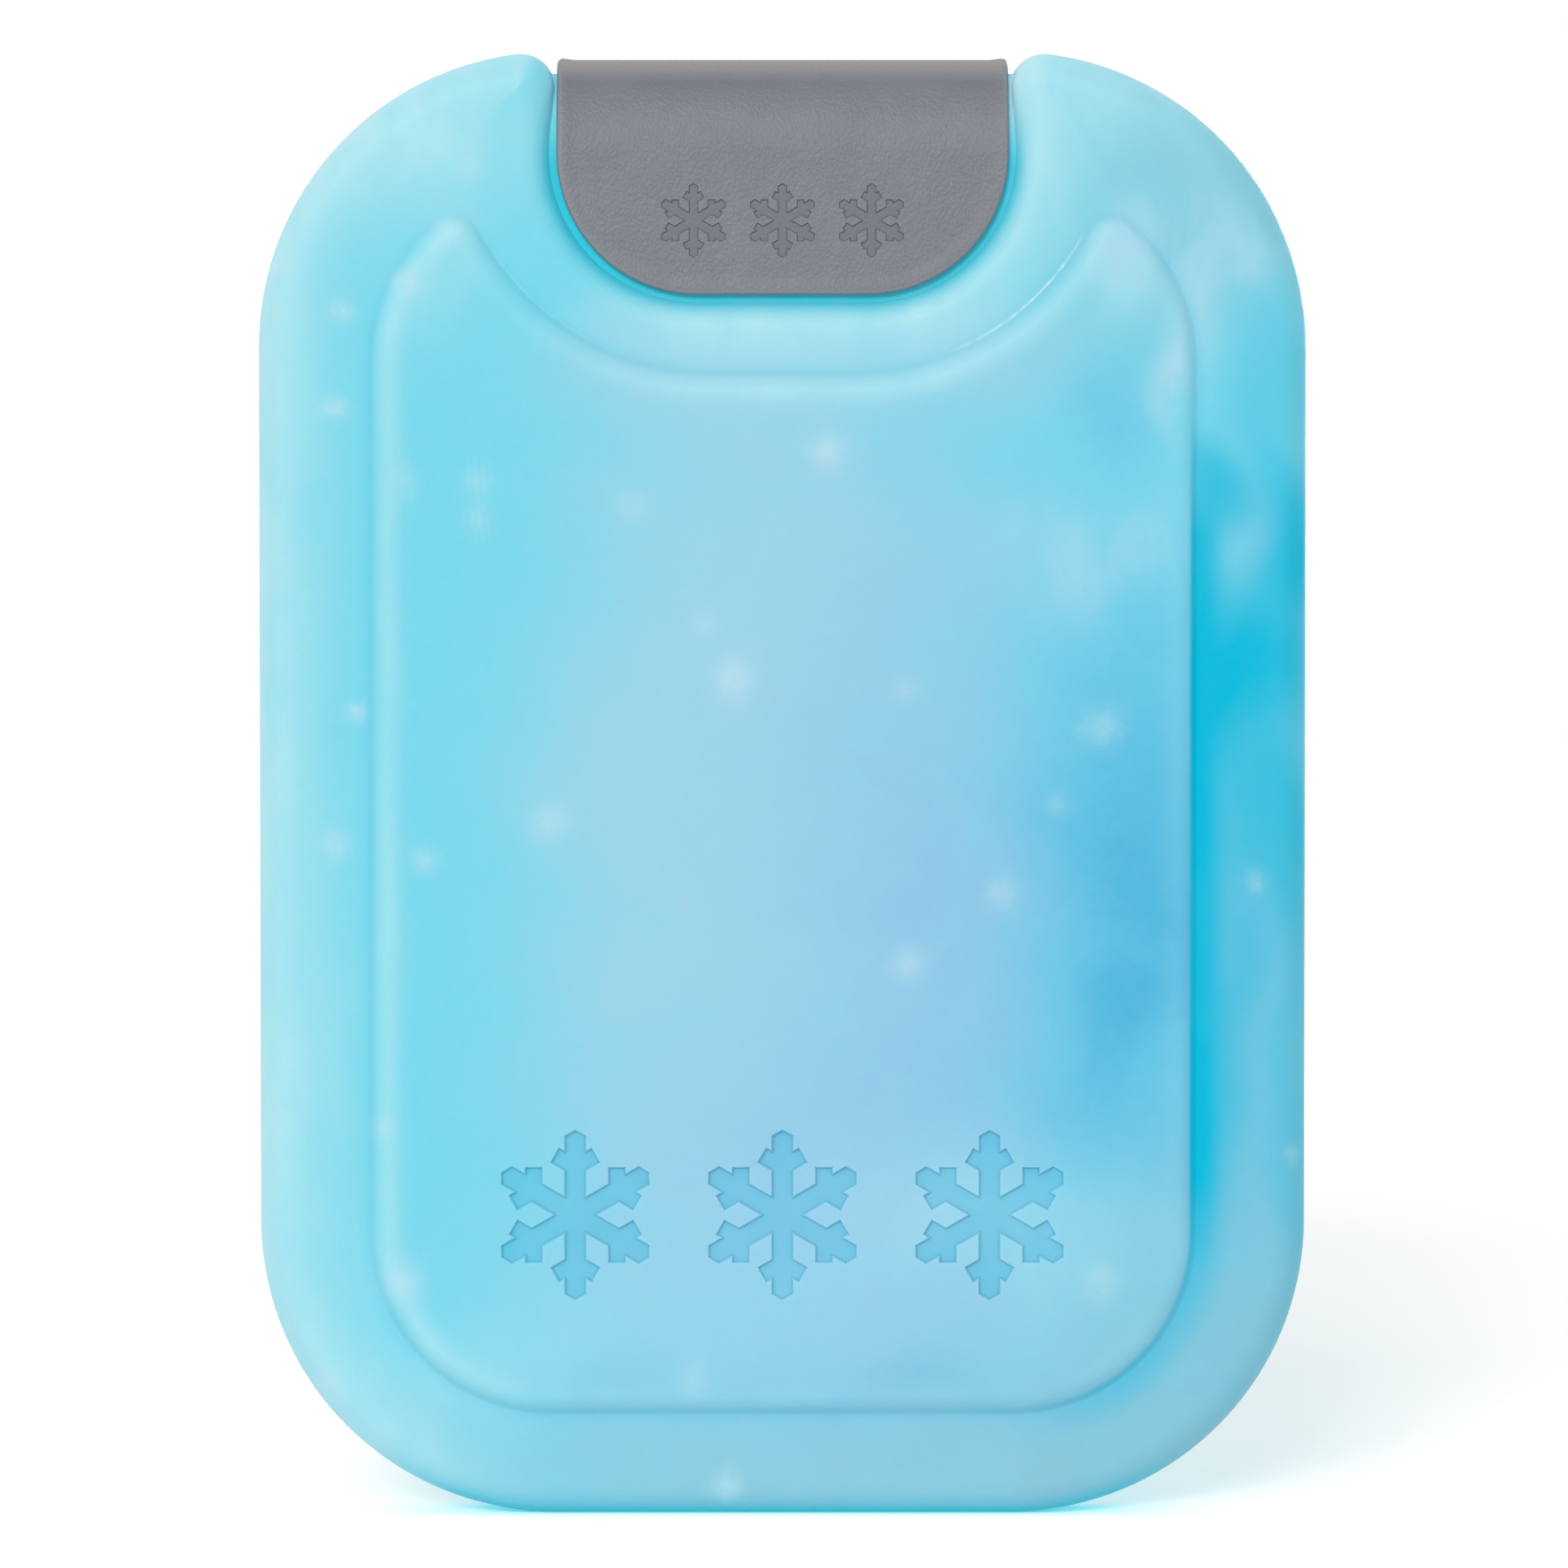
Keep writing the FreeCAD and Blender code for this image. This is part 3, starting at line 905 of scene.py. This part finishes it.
tint_shell()
smooth(shell, SHELL_SHARP)
print("tints:", [a.name for a in shell.data.attributes if a.data_type == "FLOAT"])

# %% [markdown]
# ## The strap
# The strap is one soft moulding. Unrolled, it is a rounded rectangle, and the fold carries it over
# the neck's arch. So the mesh is made flat first: an outline, loops inside it and a grid in the
# middle, and then every point is bent over the arch by the same formula as the neck's section. Its
# edge is rounded, and its face lies a little lower than a narrow border, which shows as the small
# raised ends of the top edge.

# %% The unrolled strap
STRAP_EDGE = 0.8
STRAP_EDGE_LOOPS = 5
STRAP_INNER_EDGE = 0.3
STRAP_INNER_LOOPS = 2
STRAP_DISH = 0.2
DISH_SLOPE = 1.6
SIDE_ROWS = 44
CORNER_ROWS = 22
STRAP_COLUMNS = 80
STRAP_OUT = SEAT_GAP + STRAP_THICKNESS
STRAP_RUN = ARCH_LENGTH + STRAP_OUT * math.pi / 2 + SPRING - STRAP_TIP


def strap_rows(inset):
    """Way along the strap and half width of each row of the grid, for an outline moved inwards.

    The straight stretch is spaced evenly and the corners by equal turns, so they stay round."""
    straight = STRAP_RUN - STRAP_CORNER
    turn = np.linspace(0, math.pi / 2, CORNER_ROWS + 1)[1:]
    radius = STRAP_CORNER - inset
    end_way = straight + radius * np.sin(turn)
    end_half = STRAP_HALF_WIDTH - STRAP_CORNER + radius * np.cos(turn)
    way = np.concatenate([-end_way[::-1], np.linspace(-straight, straight, SIDE_ROWS + 1), end_way])
    side = np.full(SIDE_ROWS + 1, STRAP_HALF_WIDTH - inset)
    return way, np.concatenate([end_half[::-1], side, end_half])


def strap_border(values):
    """The border cells of a grid of values, in order round it."""
    return np.concatenate([values[0, :-1], values[:-1, -1], values[-1, :0:-1], values[:0:-1, 0]])


def strap_sheet(inset):
    """Way along the strap and x of its grid's points, for an outline moved inwards."""
    way, half = strap_rows(inset)
    share = np.linspace(-1, 1, STRAP_COLUMNS + 1)
    return np.broadcast_to(way[:, None], (len(way), len(share))), half[:, None] * share


def strap_margin(x, past_end):
    """Distance inside the strap's outline, for x and the way past the end of its straight side."""
    past_side = np.clip(np.abs(x) - (STRAP_HALF_WIDTH - STRAP_CORNER), 0, None)
    return STRAP_CORNER - np.hypot(past_side, np.clip(past_end, 0, None))


# %% Fold the strap
def edge_loops(radius, face, towards, count):
    """Inset and height of the loops over a rounded edge, from the side to just before the face.

    They lie on a quarter circle: the inset is radius (1 - cos t), and the height differs from that
    of the face by radius (1 - sin t)."""
    turn = np.arange(count) / count * math.pi / 2
    height = face + towards * radius * (1 - np.sin(turn))
    return list(zip(radius * (1 - np.cos(turn)), height))


def make_strap():
    """The strap's skin: outer sheet, rounded edges, side and inner sheet, then folded."""
    outer_way, outer_x = strap_sheet(STRAP_EDGE)
    margin = strap_margin(outer_x, np.abs(outer_way) - (STRAP_RUN - STRAP_CORNER))
    face = STRAP_OUT - STRAP_DISH * ease((margin - STRAP_EDGE) / DISH_SLOPE)
    inner_way, inner_x = strap_sheet(STRAP_INNER_EDGE)
    way, x, out = [outer_way.ravel()], [outer_x.ravel()], [face.ravel()]
    outer_index = np.arange(outer_way.size).reshape(outer_way.shape)
    loops = [strap_border(outer_index)]
    filled = outer_way.size
    outer_loops = edge_loops(STRAP_EDGE, STRAP_OUT, -1, STRAP_EDGE_LOOPS)
    inner_loops = edge_loops(STRAP_INNER_EDGE, SEAT_GAP, 1, STRAP_INNER_LOOPS)
    for inset, height in outer_loops[::-1] + inner_loops:
        sheet_way, sheet_x = strap_sheet(inset)
        way.append(strap_border(sheet_way))
        x.append(strap_border(sheet_x))
        out.append(np.full(len(way[-1]), height))
        loops.append(np.arange(filled, filled + len(way[-1])))
        filled += len(way[-1])
    inner_index = filled + np.arange(inner_way.size).reshape(inner_way.shape)
    loops.append(strap_border(inner_index))
    way.append(inner_way.ravel())
    x.append(inner_x.ravel())
    out.append(np.full(inner_way.size, SEAT_GAP))
    way, x, out = np.concatenate(way), np.concatenate(x), np.concatenate(out)
    y, z = over_arch(way, out, STRAP_OUT)
    faces = grid_faces(outer_index)
    faces += grid_faces(np.stack(loops[::-1]), closed=True)
    faces += grid_faces(inner_index[:, ::-1])
    return make_mesh("strap", np.column_stack([x, y, z]), faces)


PEG_SINK = 1.0
strap = make_strap()
combine(strap, make_solids("pegs", peg_rings(PEG_RADIUS, NECK_HALF + PEG_SINK)), "UNION")
print("strap:", len(strap.data.polygons), "faces")

# %% [markdown]
# The strap has the same row of crystals, smaller and shallower.

# %% Stamp the strap
STRAP_MOTIF_Z = 175.3
STRAP_MOTIF_RADIUS = 4.9
STRAP_MOTIF_STEP = 12.0
STRAP_MOTIF_DEPTH = 0.28
STRAP_MOTIF_SOFT = 0.1
STRAP_MOTIF_FACE = STRAP_FACE - STRAP_DISH
strap_stamps = crystal_row(
    "strap_stamps",
    STRAP_MOTIF_Z,
    STRAP_MOTIF_STEP,
    STRAP_MOTIF_RADIUS,
    STRAP_MOTIF_FACE,
    STRAP_MOTIF_DEPTH,
    STRAP_MOTIF_SOFT,
)
combine(strap, strap_stamps, "DIFFERENCE")
print("stamped strap:", len(strap.data.polygons), "faces")

# %% Tints of the strap
STRAP_RECESS_START = 0.03
STRAP_RECESS_DEPTH = 0.15
BORDER_LINE = (0.3, 0.35)
CREST_START = 3.5
CREST_RISE = 3.0
STRAP_SHARP = 40


def tint_strap():
    """Stores where the strap is stamped, its border's painted highlight and its crest's painted
    light.
    """
    x, y, z = mesh_points(strap).T
    in_motif = np.abs(x) < STRAP_MOTIF_STEP + STRAP_MOTIF_RADIUS + MOTIF_MARGIN
    in_motif &= np.abs(z - STRAP_MOTIF_Z) < STRAP_MOTIF_RADIUS + MOTIF_MARGIN
    in_motif &= y < -(STRAP_FACE - STRAP_THICKNESS + STRAP_INNER_EDGE)
    depth = (y + STRAP_MOTIF_FACE - STRAP_RECESS_START) / STRAP_RECESS_DEPTH
    store(strap, "recess", in_motif * np.clip(depth, 0, 1))
    # A painted highlight along the strap's rounded border.
    store(strap, "painted_border_highlight", bell(strap_margin(x, STRAP_TIP + STRAP_CORNER - z), *BORDER_LINE))
    # Painted light: the crest of the fold is paler, as if lit from above.
    store(strap, "painted_crest_light", ease((z - STRAP_TOP + CREST_START) / CREST_RISE))


tint_strap()
smooth(strap, STRAP_SHARP)
print("strap's tints:", [a.name for a in strap.data.attributes if a.data_type == "FLOAT"])

# %% [markdown]
# ## Materials
# Colours are written as sRGB hex values, as a paint chart gives them, and one function turns them
# to the linear values that the renderer works in. One small function adds a node, sets its
# properties and fills its inputs. The others name what a material is made of: a noise of a size in
# millimetres, a number that the mesh keeps, one colour laid over another.

# %% Helpers for materials
def linear(code):
    """An sRGB hex colour as linear RGBA, by the sRGB curve."""
    srgb = np.array([int(code[i : i + 2], 16) for i in (1, 3, 5)]) / 255
    value = np.where(srgb <= 0.04045, srgb / 12.92, ((srgb + 0.055) / 1.055) ** 2.4)
    return (*value.tolist(), 1.0)


def per_mm(size):
    """The scale of a texture whose features are size millimetres wide, on coordinates in metres."""
    return METRE / size


def add(tree, kind, inputs=None, **settings):
    """Adds a node, sets its properties and fills its inputs: a socket is linked, a value set."""
    node = tree.nodes.new(kind)
    for name, value in settings.items():
        setattr(node, name, value)
    for name, value in (inputs or {}).items():
        if isinstance(value, bpy.types.NodeSocket):
            tree.links.new(value, node.inputs[name])
        else:
            node.inputs[name].default_value = value
    return node


def new_material(name):
    """An empty material with its node tree and its output node."""
    material = bpy.data.materials.new(name)
    material.use_nodes = True
    material.node_tree.nodes.clear()
    return material, material.node_tree, add(material.node_tree, "ShaderNodeOutputMaterial")


def object_place(tree):
    """The point's place on its object, in metres."""
    return add(tree, "ShaderNodeTexCoord").outputs["Object"]


def noise(tree, place, size, detail, roughness, distortion=0.0):
    """A noise whose features are size millimetres wide."""
    inputs = {"Vector": place, "Scale": per_mm(size), "Detail": detail, "Roughness": roughness}
    return add(tree, "ShaderNodeTexNoise", {**inputs, "Distortion": distortion}).outputs[0]


def drawn_out(tree, place, scale, rotation=(0, 0, 0)):
    """The place turned and scaled, so that a texture on it is drawn out along one direction."""
    inputs = {"Vector": place, "Rotation": rotation, "Scale": scale}
    return add(tree, "ShaderNodeMapping", inputs).outputs[0]


def stored(tree, name):
    """The number that the mesh keeps under a name."""
    return add(tree, "ShaderNodeAttribute", attribute_name=name).outputs["Fac"]


def worked_out(tree, operation, *values, **settings):
    """What an operation makes of its values."""
    inputs = dict(enumerate(values))
    return add(tree, "ShaderNodeMath", inputs, operation=operation, **settings).outputs[0]


def in_range(tree, value, low, high, start, end):
    """A value of the range low to high, carried to the range start to end and kept inside it."""
    inputs = {"Value": value, "From Min": low, "From Max": high, "To Min": start, "To Max": end}
    return add(tree, "ShaderNodeMapRange", inputs).outputs[0]


MIX_A, MIX_B, MIX_RESULT = 6, 7, 2


def laid_over(tree, cover, under, code):
    """A colour with another one, a hex code, laid over it as strongly as a cover says."""
    inputs = {0: cover, MIX_A: under, MIX_B: linear(code)}
    return add(tree, "ShaderNodeMix", inputs, data_type="RGBA").outputs[MIX_RESULT]


def bump(tree, height, strength, distance):
    """The surface's direction, tilted by a height."""
    inputs = {"Height": height, "Strength": strength, "Distance": distance}
    return add(tree, "ShaderNodeBump", inputs).outputs[0]


def give_surface(tree, output, inputs):
    """Ends a material's tree with a surface of these inputs."""
    shader = add(tree, "ShaderNodeBsdfPrincipled", inputs)
    tree.links.new(shader.outputs[0], output.inputs["Surface"])


# %% [markdown]
# ### Blow-moulded polyethylene over frozen gel
# The shell is natural high-density polyethylene, blown against a satin mould. It is milky and
# translucent, so the frozen gel shows through as soft clouds with no hard edge, light spreads a
# few millimetres inside it, and its gloss is low and broad. Each cloud layer, and each layer of
# painted light and shade, is mixed over the one before, as strongly as the mesh says, and loosened
# by noise. A weak emission is a painted glow: it lights the outer edges, and more strongly the
# painted deep cyan round the strap and along the underside.

# %% The shell's material
GEL_CLEAR = "#7EDBEF"
GEL_FROST = "#B0DEF1"
# The dusky tint is painted shade. The deep cyan round the strap and along the underside is painted
# shade with a painted glow, the near-white line is a painted glint, and the milky and deep tints
# also carry painted light and painted shade.
GEL_TINTS = {
    "haze": ("#A3D7EC", "cloud", 0.2),
    "violet": ("#94C9EA", "cloud", 0.4),
    "sky": ("#52BAE2", "cloud", 0.2),
    "painted_shade": ("#90C7DA", "cloud", 0.2),
    "milk_and_painted_light": ("#BBEAF4", "wisp", 0.25),
    "frost": (GEL_FROST, "wisp", 0.8),
    "deep": ("#00BFE1", "wisp", 0.08),
    "spots": ("#C6E6F3", "mottle", 0.3),
    "lip_painted_shade_and_glow": ("#00C6DE", "cloud", 0.0),
    "painted_glint": ("#E4F6FA", "mottle", 1.0),
    "recess": ("#4FC0DF", "cloud", 0.3),
}
CLOUD_SIZE = 24.0
WISP_SIZE = 9.0
WISP_SCALE = (1.0, 1.0, 0.45)
WISP_LEAN = (0, 0.5, 0)
MOTTLE_SIZE = 1.6
NOISE_SPAN = (0.3, 0.7)
SPECK_SPAN = (0.45, 0.8)
SPECK_COVER = 0.07
SATIN_SIZE = 1.3
SATIN_DEPTH = 0.0002
SATIN_ROUGHNESS = (0.36, 0.46)
SCATTER = 0.0015
LIP_PAINTED_GLOW = 0.12
EDGE_PAINTED_GLOW = 0.17


def gel_colour(tree, place):
    """The clear gel's colour with each tint laid over it, and fine specks under the deep one."""
    drawn = drawn_out(tree, place, WISP_SCALE, WISP_LEAN)
    textures = {
        "cloud": noise(tree, place, CLOUD_SIZE, detail=3.0, roughness=0.55, distortion=0.8),
        "wisp": noise(tree, drawn, WISP_SIZE, detail=4.0, roughness=0.55, distortion=0.6),
        "mottle": noise(tree, place, MOTTLE_SIZE, detail=4.0, roughness=0.65),
    }
    specks = in_range(tree, textures["mottle"], *SPECK_SPAN, 0.0, SPECK_COVER)
    colour = linear(GEL_CLEAR)
    for name, (code, texture, amount) in GEL_TINTS.items():
        if name == "deep":
            colour = laid_over(tree, specks, colour, GEL_FROST)
        share = in_range(tree, textures[texture], *NOISE_SPAN, 1 - amount, 1 + amount)
        cover = worked_out(tree, "MULTIPLY", stored(tree, name), share, use_clamp=True)
        colour = laid_over(tree, cover, colour, code)
    return colour


def gel_material():
    """Clouds of gel under satin polyethylene."""
    material, tree, output = new_material("blow_moulded_polyethylene_over_gel")
    material.cycles.emission_sampling = "NONE"
    place = object_place(tree)
    colour = gel_colour(tree, place)
    satin = noise(tree, place, SATIN_SIZE, detail=2.0, roughness=0.55)
    # The emission is a painted glow at the outer edges, round the strap and along the underside.
    edge_painted_glow = worked_out(tree, "MULTIPLY", stored(tree, "edge"), EDGE_PAINTED_GLOW)
    painted_glow = worked_out(tree, "MULTIPLY_ADD", stored(tree, "lip_painted_shade_and_glow"), LIP_PAINTED_GLOW, edge_painted_glow)
    surface = {
        "Base Color": colour,
        "Roughness": in_range(tree, satin, *NOISE_SPAN, *SATIN_ROUGHNESS),
        "Normal": bump(tree, satin, strength=0.25, distance=SATIN_DEPTH),
        "IOR": 1.51,
        "Specular IOR Level": 0.07,
        "Emission Color": colour,
        "Emission Strength": painted_glow,
        "Subsurface Weight": 0.45,
        "Subsurface Radius": (0.3, 0.9, 1.2),
        "Subsurface Scale": SCATTER,
    }
    give_surface(tree, output, surface)
    return material


# %% [markdown]
# ### Grained rubber
# The strap is a thermoplastic rubber, moulded against a mould etched like fine leather. The grain
# is small cells with creases between them, a fraction of a millimetre wide and drawn out upwards,
# which glint where the fold faces the light. Rubber has a broad, weak gloss. The crest of the fold
# is painted paler, as painted light from above, the border has a painted highlight, and the stamped
# floor is smoother and a little darker.

# %% The strap's material
RUBBER = "#6B7079"
RUBBER_LIGHT = "#70757E"
# The crest's paler tint is painted light from above, and the border's is a painted highlight.
RUBBER_TINTS = {"painted_crest_light": "#989494", "painted_border_highlight": "#8A8D93", "recess": "#5F646E"}
GRAIN_SIZE = 0.36
GRAIN_SCALE = (1.0, 1.0, 0.75)
GRAIN_DEPTH = 0.00015
GRAIN_STRENGTH = 0.5
FINE_SHARE = 0.8
RECESS_GRAIN = 0.1
BLOOM_SIZE = 6.0
BLOOM_SPAN = (0.35, 0.65)


def leather_grain(tree, place):
    """The height of the grain: cells, with a noise on them that is three times as fine."""
    inputs = {"Vector": drawn_out(tree, place, GRAIN_SCALE), "Scale": per_mm(GRAIN_SIZE)}
    inputs.update({"Smoothness": 0.6, "Randomness": 1.0})
    cells = add(tree, "ShaderNodeTexVoronoi", inputs, feature="SMOOTH_F1").outputs["Distance"]
    fine = noise(tree, place, GRAIN_SIZE / 3, detail=3.0, roughness=0.6)
    return worked_out(tree, "MULTIPLY_ADD", fine, FINE_SHARE, cells)


def rubber_material():
    """Grey rubber with a leather-like grain."""
    material, tree, output = new_material("grained_thermoplastic_rubber")
    place = object_place(tree)
    covers = {name: stored(tree, name) for name in RUBBER_TINTS}
    smoothing = RECESS_GRAIN - GRAIN_STRENGTH
    strength = worked_out(tree, "MULTIPLY_ADD", covers["recess"], smoothing, GRAIN_STRENGTH)
    bloom = noise(tree, place, BLOOM_SIZE, detail=4.0, roughness=0.6)
    paler = in_range(tree, bloom, *BLOOM_SPAN, 0.0, 1.0)
    colour = laid_over(tree, paler, linear(RUBBER), RUBBER_LIGHT)
    for name, code in RUBBER_TINTS.items():
        colour = laid_over(tree, covers[name], colour, code)
    grain = bump(tree, leather_grain(tree, place), strength, GRAIN_DEPTH)
    surface = {"Base Color": colour, "Roughness": 0.36, "Normal": grain, "IOR": 1.55}
    give_surface(tree, output, surface)
    return material


# %% [markdown]
# ### Turned polyethylene
# The plug in the filling hole is a turned rod of plain polyethylene, welded in and faced off. It is
# whiter than the shell, since there is no gel behind it, and has the rings of the lathe. A wave
# texture repeats after a tenth of pi at a scale of 1, so the rings are 1.57 mm apart.

# %% The plug's material
PLUG_WHITE = "#D6E6EA"
PLUG_SHADE = "#C2D8DE"
RING_SCALE = 200.0
LATHE_DEPTH = 0.00005


def plug_material():
    """White polyethylene with the rings that a lathe leaves."""
    material, tree, output = new_material("turned_polyethylene")
    inputs = {"Vector": object_place(tree), "Scale": RING_SCALE, "Distortion": 0.4}
    turned = {"wave_type": "RINGS", "rings_direction": "Z"}
    rings = add(tree, "ShaderNodeTexWave", inputs, **turned).outputs["Fac"]
    surface = {
        "Base Color": laid_over(tree, rings, linear(PLUG_WHITE), PLUG_SHADE),
        "Roughness": 0.4,
        "Normal": bump(tree, rings, strength=0.2, distance=LATHE_DEPTH),
        "IOR": 1.51,
        "Subsurface Weight": 0.3,
        "Subsurface Scale": 0.002,
    }
    give_surface(tree, output, surface)
    return material


# %% Dress the pieces
def dress(piece, material):
    """Gives a piece one material, in place of any that it has."""
    piece.data.materials.clear()
    piece.data.materials.append(material)


dress(shell, gel_material())
dress(strap, rubber_material())
dress(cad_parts["fill_plug"], plug_material())
for piece, node, slot in ((shell, "pack_body", "shell"), (strap, "pull_strap", "strap")):
    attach(piece, "root")
    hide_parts(node)
    print(piece.name, "stands for", node)

# %% [markdown]
# ## The stage
# The pack stands on a plain pale floor with no visible horizon. The floor is white to light that
# bounces from it. What the camera sees of it is partly reflected light, drawn strongly enough for
# the depth of the shadow, and partly a steady bluish glow that brings the rest of it to white. The
# two key lamps, which cast the shadow, are low and stand a little to the left, so that it runs far
# back and to the right. A weak lamp keeps the right side from going grey, and a low one behind the
# pack lights its back and its edges.

# %% Floor
FLOOR_HALF = 3.0
FLOOR_COLOUR = "#F2F6F7"
FLOOR_SEEN = (1.62, 1.09, 1.02, 1.0)
FLOOR_GLOW = (0.08, 0.38, 0.42, 1.0)


def seen_directly(tree):
    """One for rays from the camera or through a mirror or glass, and zero for light on its way."""
    path = add(tree, "ShaderNodeLightPath").outputs
    seen = worked_out(tree, "MAXIMUM", path["Is Camera Ray"], path["Is Glossy Ray"])
    return worked_out(tree, "MAXIMUM", seen, path["Is Transmission Ray"])


def make_floor():
    """A wide flat square at the height that the pack stands on."""
    mesh = bpy.data.meshes.new("floor")
    signs = ((-1, -1), (1, -1), (1, 1), (-1, 1))
    corners = [(FLOOR_HALF * side, FLOOR_HALF * end, 0) for side, end in signs]
    mesh.from_pydata(corners, [], [(0, 1, 2, 3)])
    floor = bpy.data.objects.new("floor", mesh)
    bpy.context.scene.collection.objects.link(floor)
    material, tree, output = new_material("matt_white_card")
    away = add(tree, "ShaderNodeBsdfDiffuse", {"Color": linear(FLOOR_COLOUR)}).outputs[0]
    part = add(tree, "ShaderNodeBsdfDiffuse", {"Color": FLOOR_SEEN}).outputs[0]
    glow = add(tree, "ShaderNodeEmission", {"Color": FLOOR_GLOW}).outputs[0]
    seen = add(tree, "ShaderNodeAddShader", {0: part, 1: glow}).outputs[0]
    both = add(tree, "ShaderNodeMixShader", {0: seen_directly(tree), 1: away, 2: seen}).outputs[0]
    tree.links.new(both, output.inputs["Surface"])
    mesh.materials.append(material)


make_floor()
print("floor", 2 * FLOOR_HALF, "m wide")

# %% World and lamps
AMBIENT = 0.5
AMBIENT_COLOUR = (0.8, 0.8, 0.8, 1.0)
WHITE = (1.0, 1.0, 1.0)
KEY_COLOUR = (1.0, 0.975, 0.93)


def make_world():
    """An even pale surround: white where it is seen, and dimmer as light."""
    world = bpy.data.worlds.new("studio")
    bpy.context.scene.world = world
    world.use_nodes = True
    tree = world.node_tree
    tree.nodes.clear()
    dim = {"Color": AMBIENT_COLOUR, "Strength": AMBIENT}
    light = add(tree, "ShaderNodeBackground", dim).outputs[0]
    white = add(tree, "ShaderNodeBackground", {"Color": (*WHITE, 1.0), "Strength": 1.0}).outputs[0]
    both = add(tree, "ShaderNodeMixShader", {0: seen_directly(tree), 1: light, 2: white}).outputs[0]
    tree.links.new(both, add(tree, "ShaderNodeOutputWorld").inputs["Surface"])


def sun(name, azimuth, elevation, strength, breadth, colour=WHITE):
    """A sun lamp from an azimuth, counted from the front towards the left, and an elevation."""
    lamp = bpy.data.lights.new(name, "SUN")
    lamp.energy = strength
    lamp.color = colour
    lamp.angle = math.radians(breadth)
    holder = bpy.data.objects.new(name, lamp)
    holder.rotation_euler = (math.radians(90 - elevation), 0, math.radians(-azimuth))
    bpy.context.scene.collection.objects.link(holder)


make_world()
sun("key", azimuth=10, elevation=18.5, strength=1.3, breadth=16, colour=KEY_COLOUR)
sun("side_key", azimuth=23, elevation=28, strength=0.43, breadth=33, colour=KEY_COLOUR)
sun("right_fill", azimuth=-65, elevation=25, strength=0.2, breadth=90)
sun("back_fill", azimuth=200, elevation=5, strength=0.42, breadth=20)
print("ambient", AMBIENT)

# %% [markdown]
# ## The camera
# The photo looks at the pack from a little above its mid height, with so little perspective that
# the lens must have been long and far away. The width of the frame at the pack and the distance
# give the focal length, and the camera is tipped down to the height in the middle of the picture.

# %% Camera
FRAME_WIDTH = 0.213
CAMERA_DISTANCE = 1.2
CAMERA_X = 0.0002
CAMERA_Z = 0.145
AIM_Z = 0.0990
VIEW_END = 20.0
camera_data = bpy.data.cameras.new("camera")
camera_data.lens = camera_data.sensor_width * CAMERA_DISTANCE / FRAME_WIDTH
camera_data.clip_end = VIEW_END
camera = bpy.data.objects.new("camera", camera_data)
camera.location = (CAMERA_X, -CAMERA_DISTANCE, CAMERA_Z)
camera.rotation_euler = (math.pi / 2 - math.atan2(CAMERA_Z - AIM_Z, CAMERA_DISTANCE), 0, 0)
bpy.context.scene.collection.objects.link(camera)
bpy.context.scene.camera = camera
bpy.context.scene.view_settings.view_transform = "Standard"
print("lens", round(camera_data.lens), "mm")
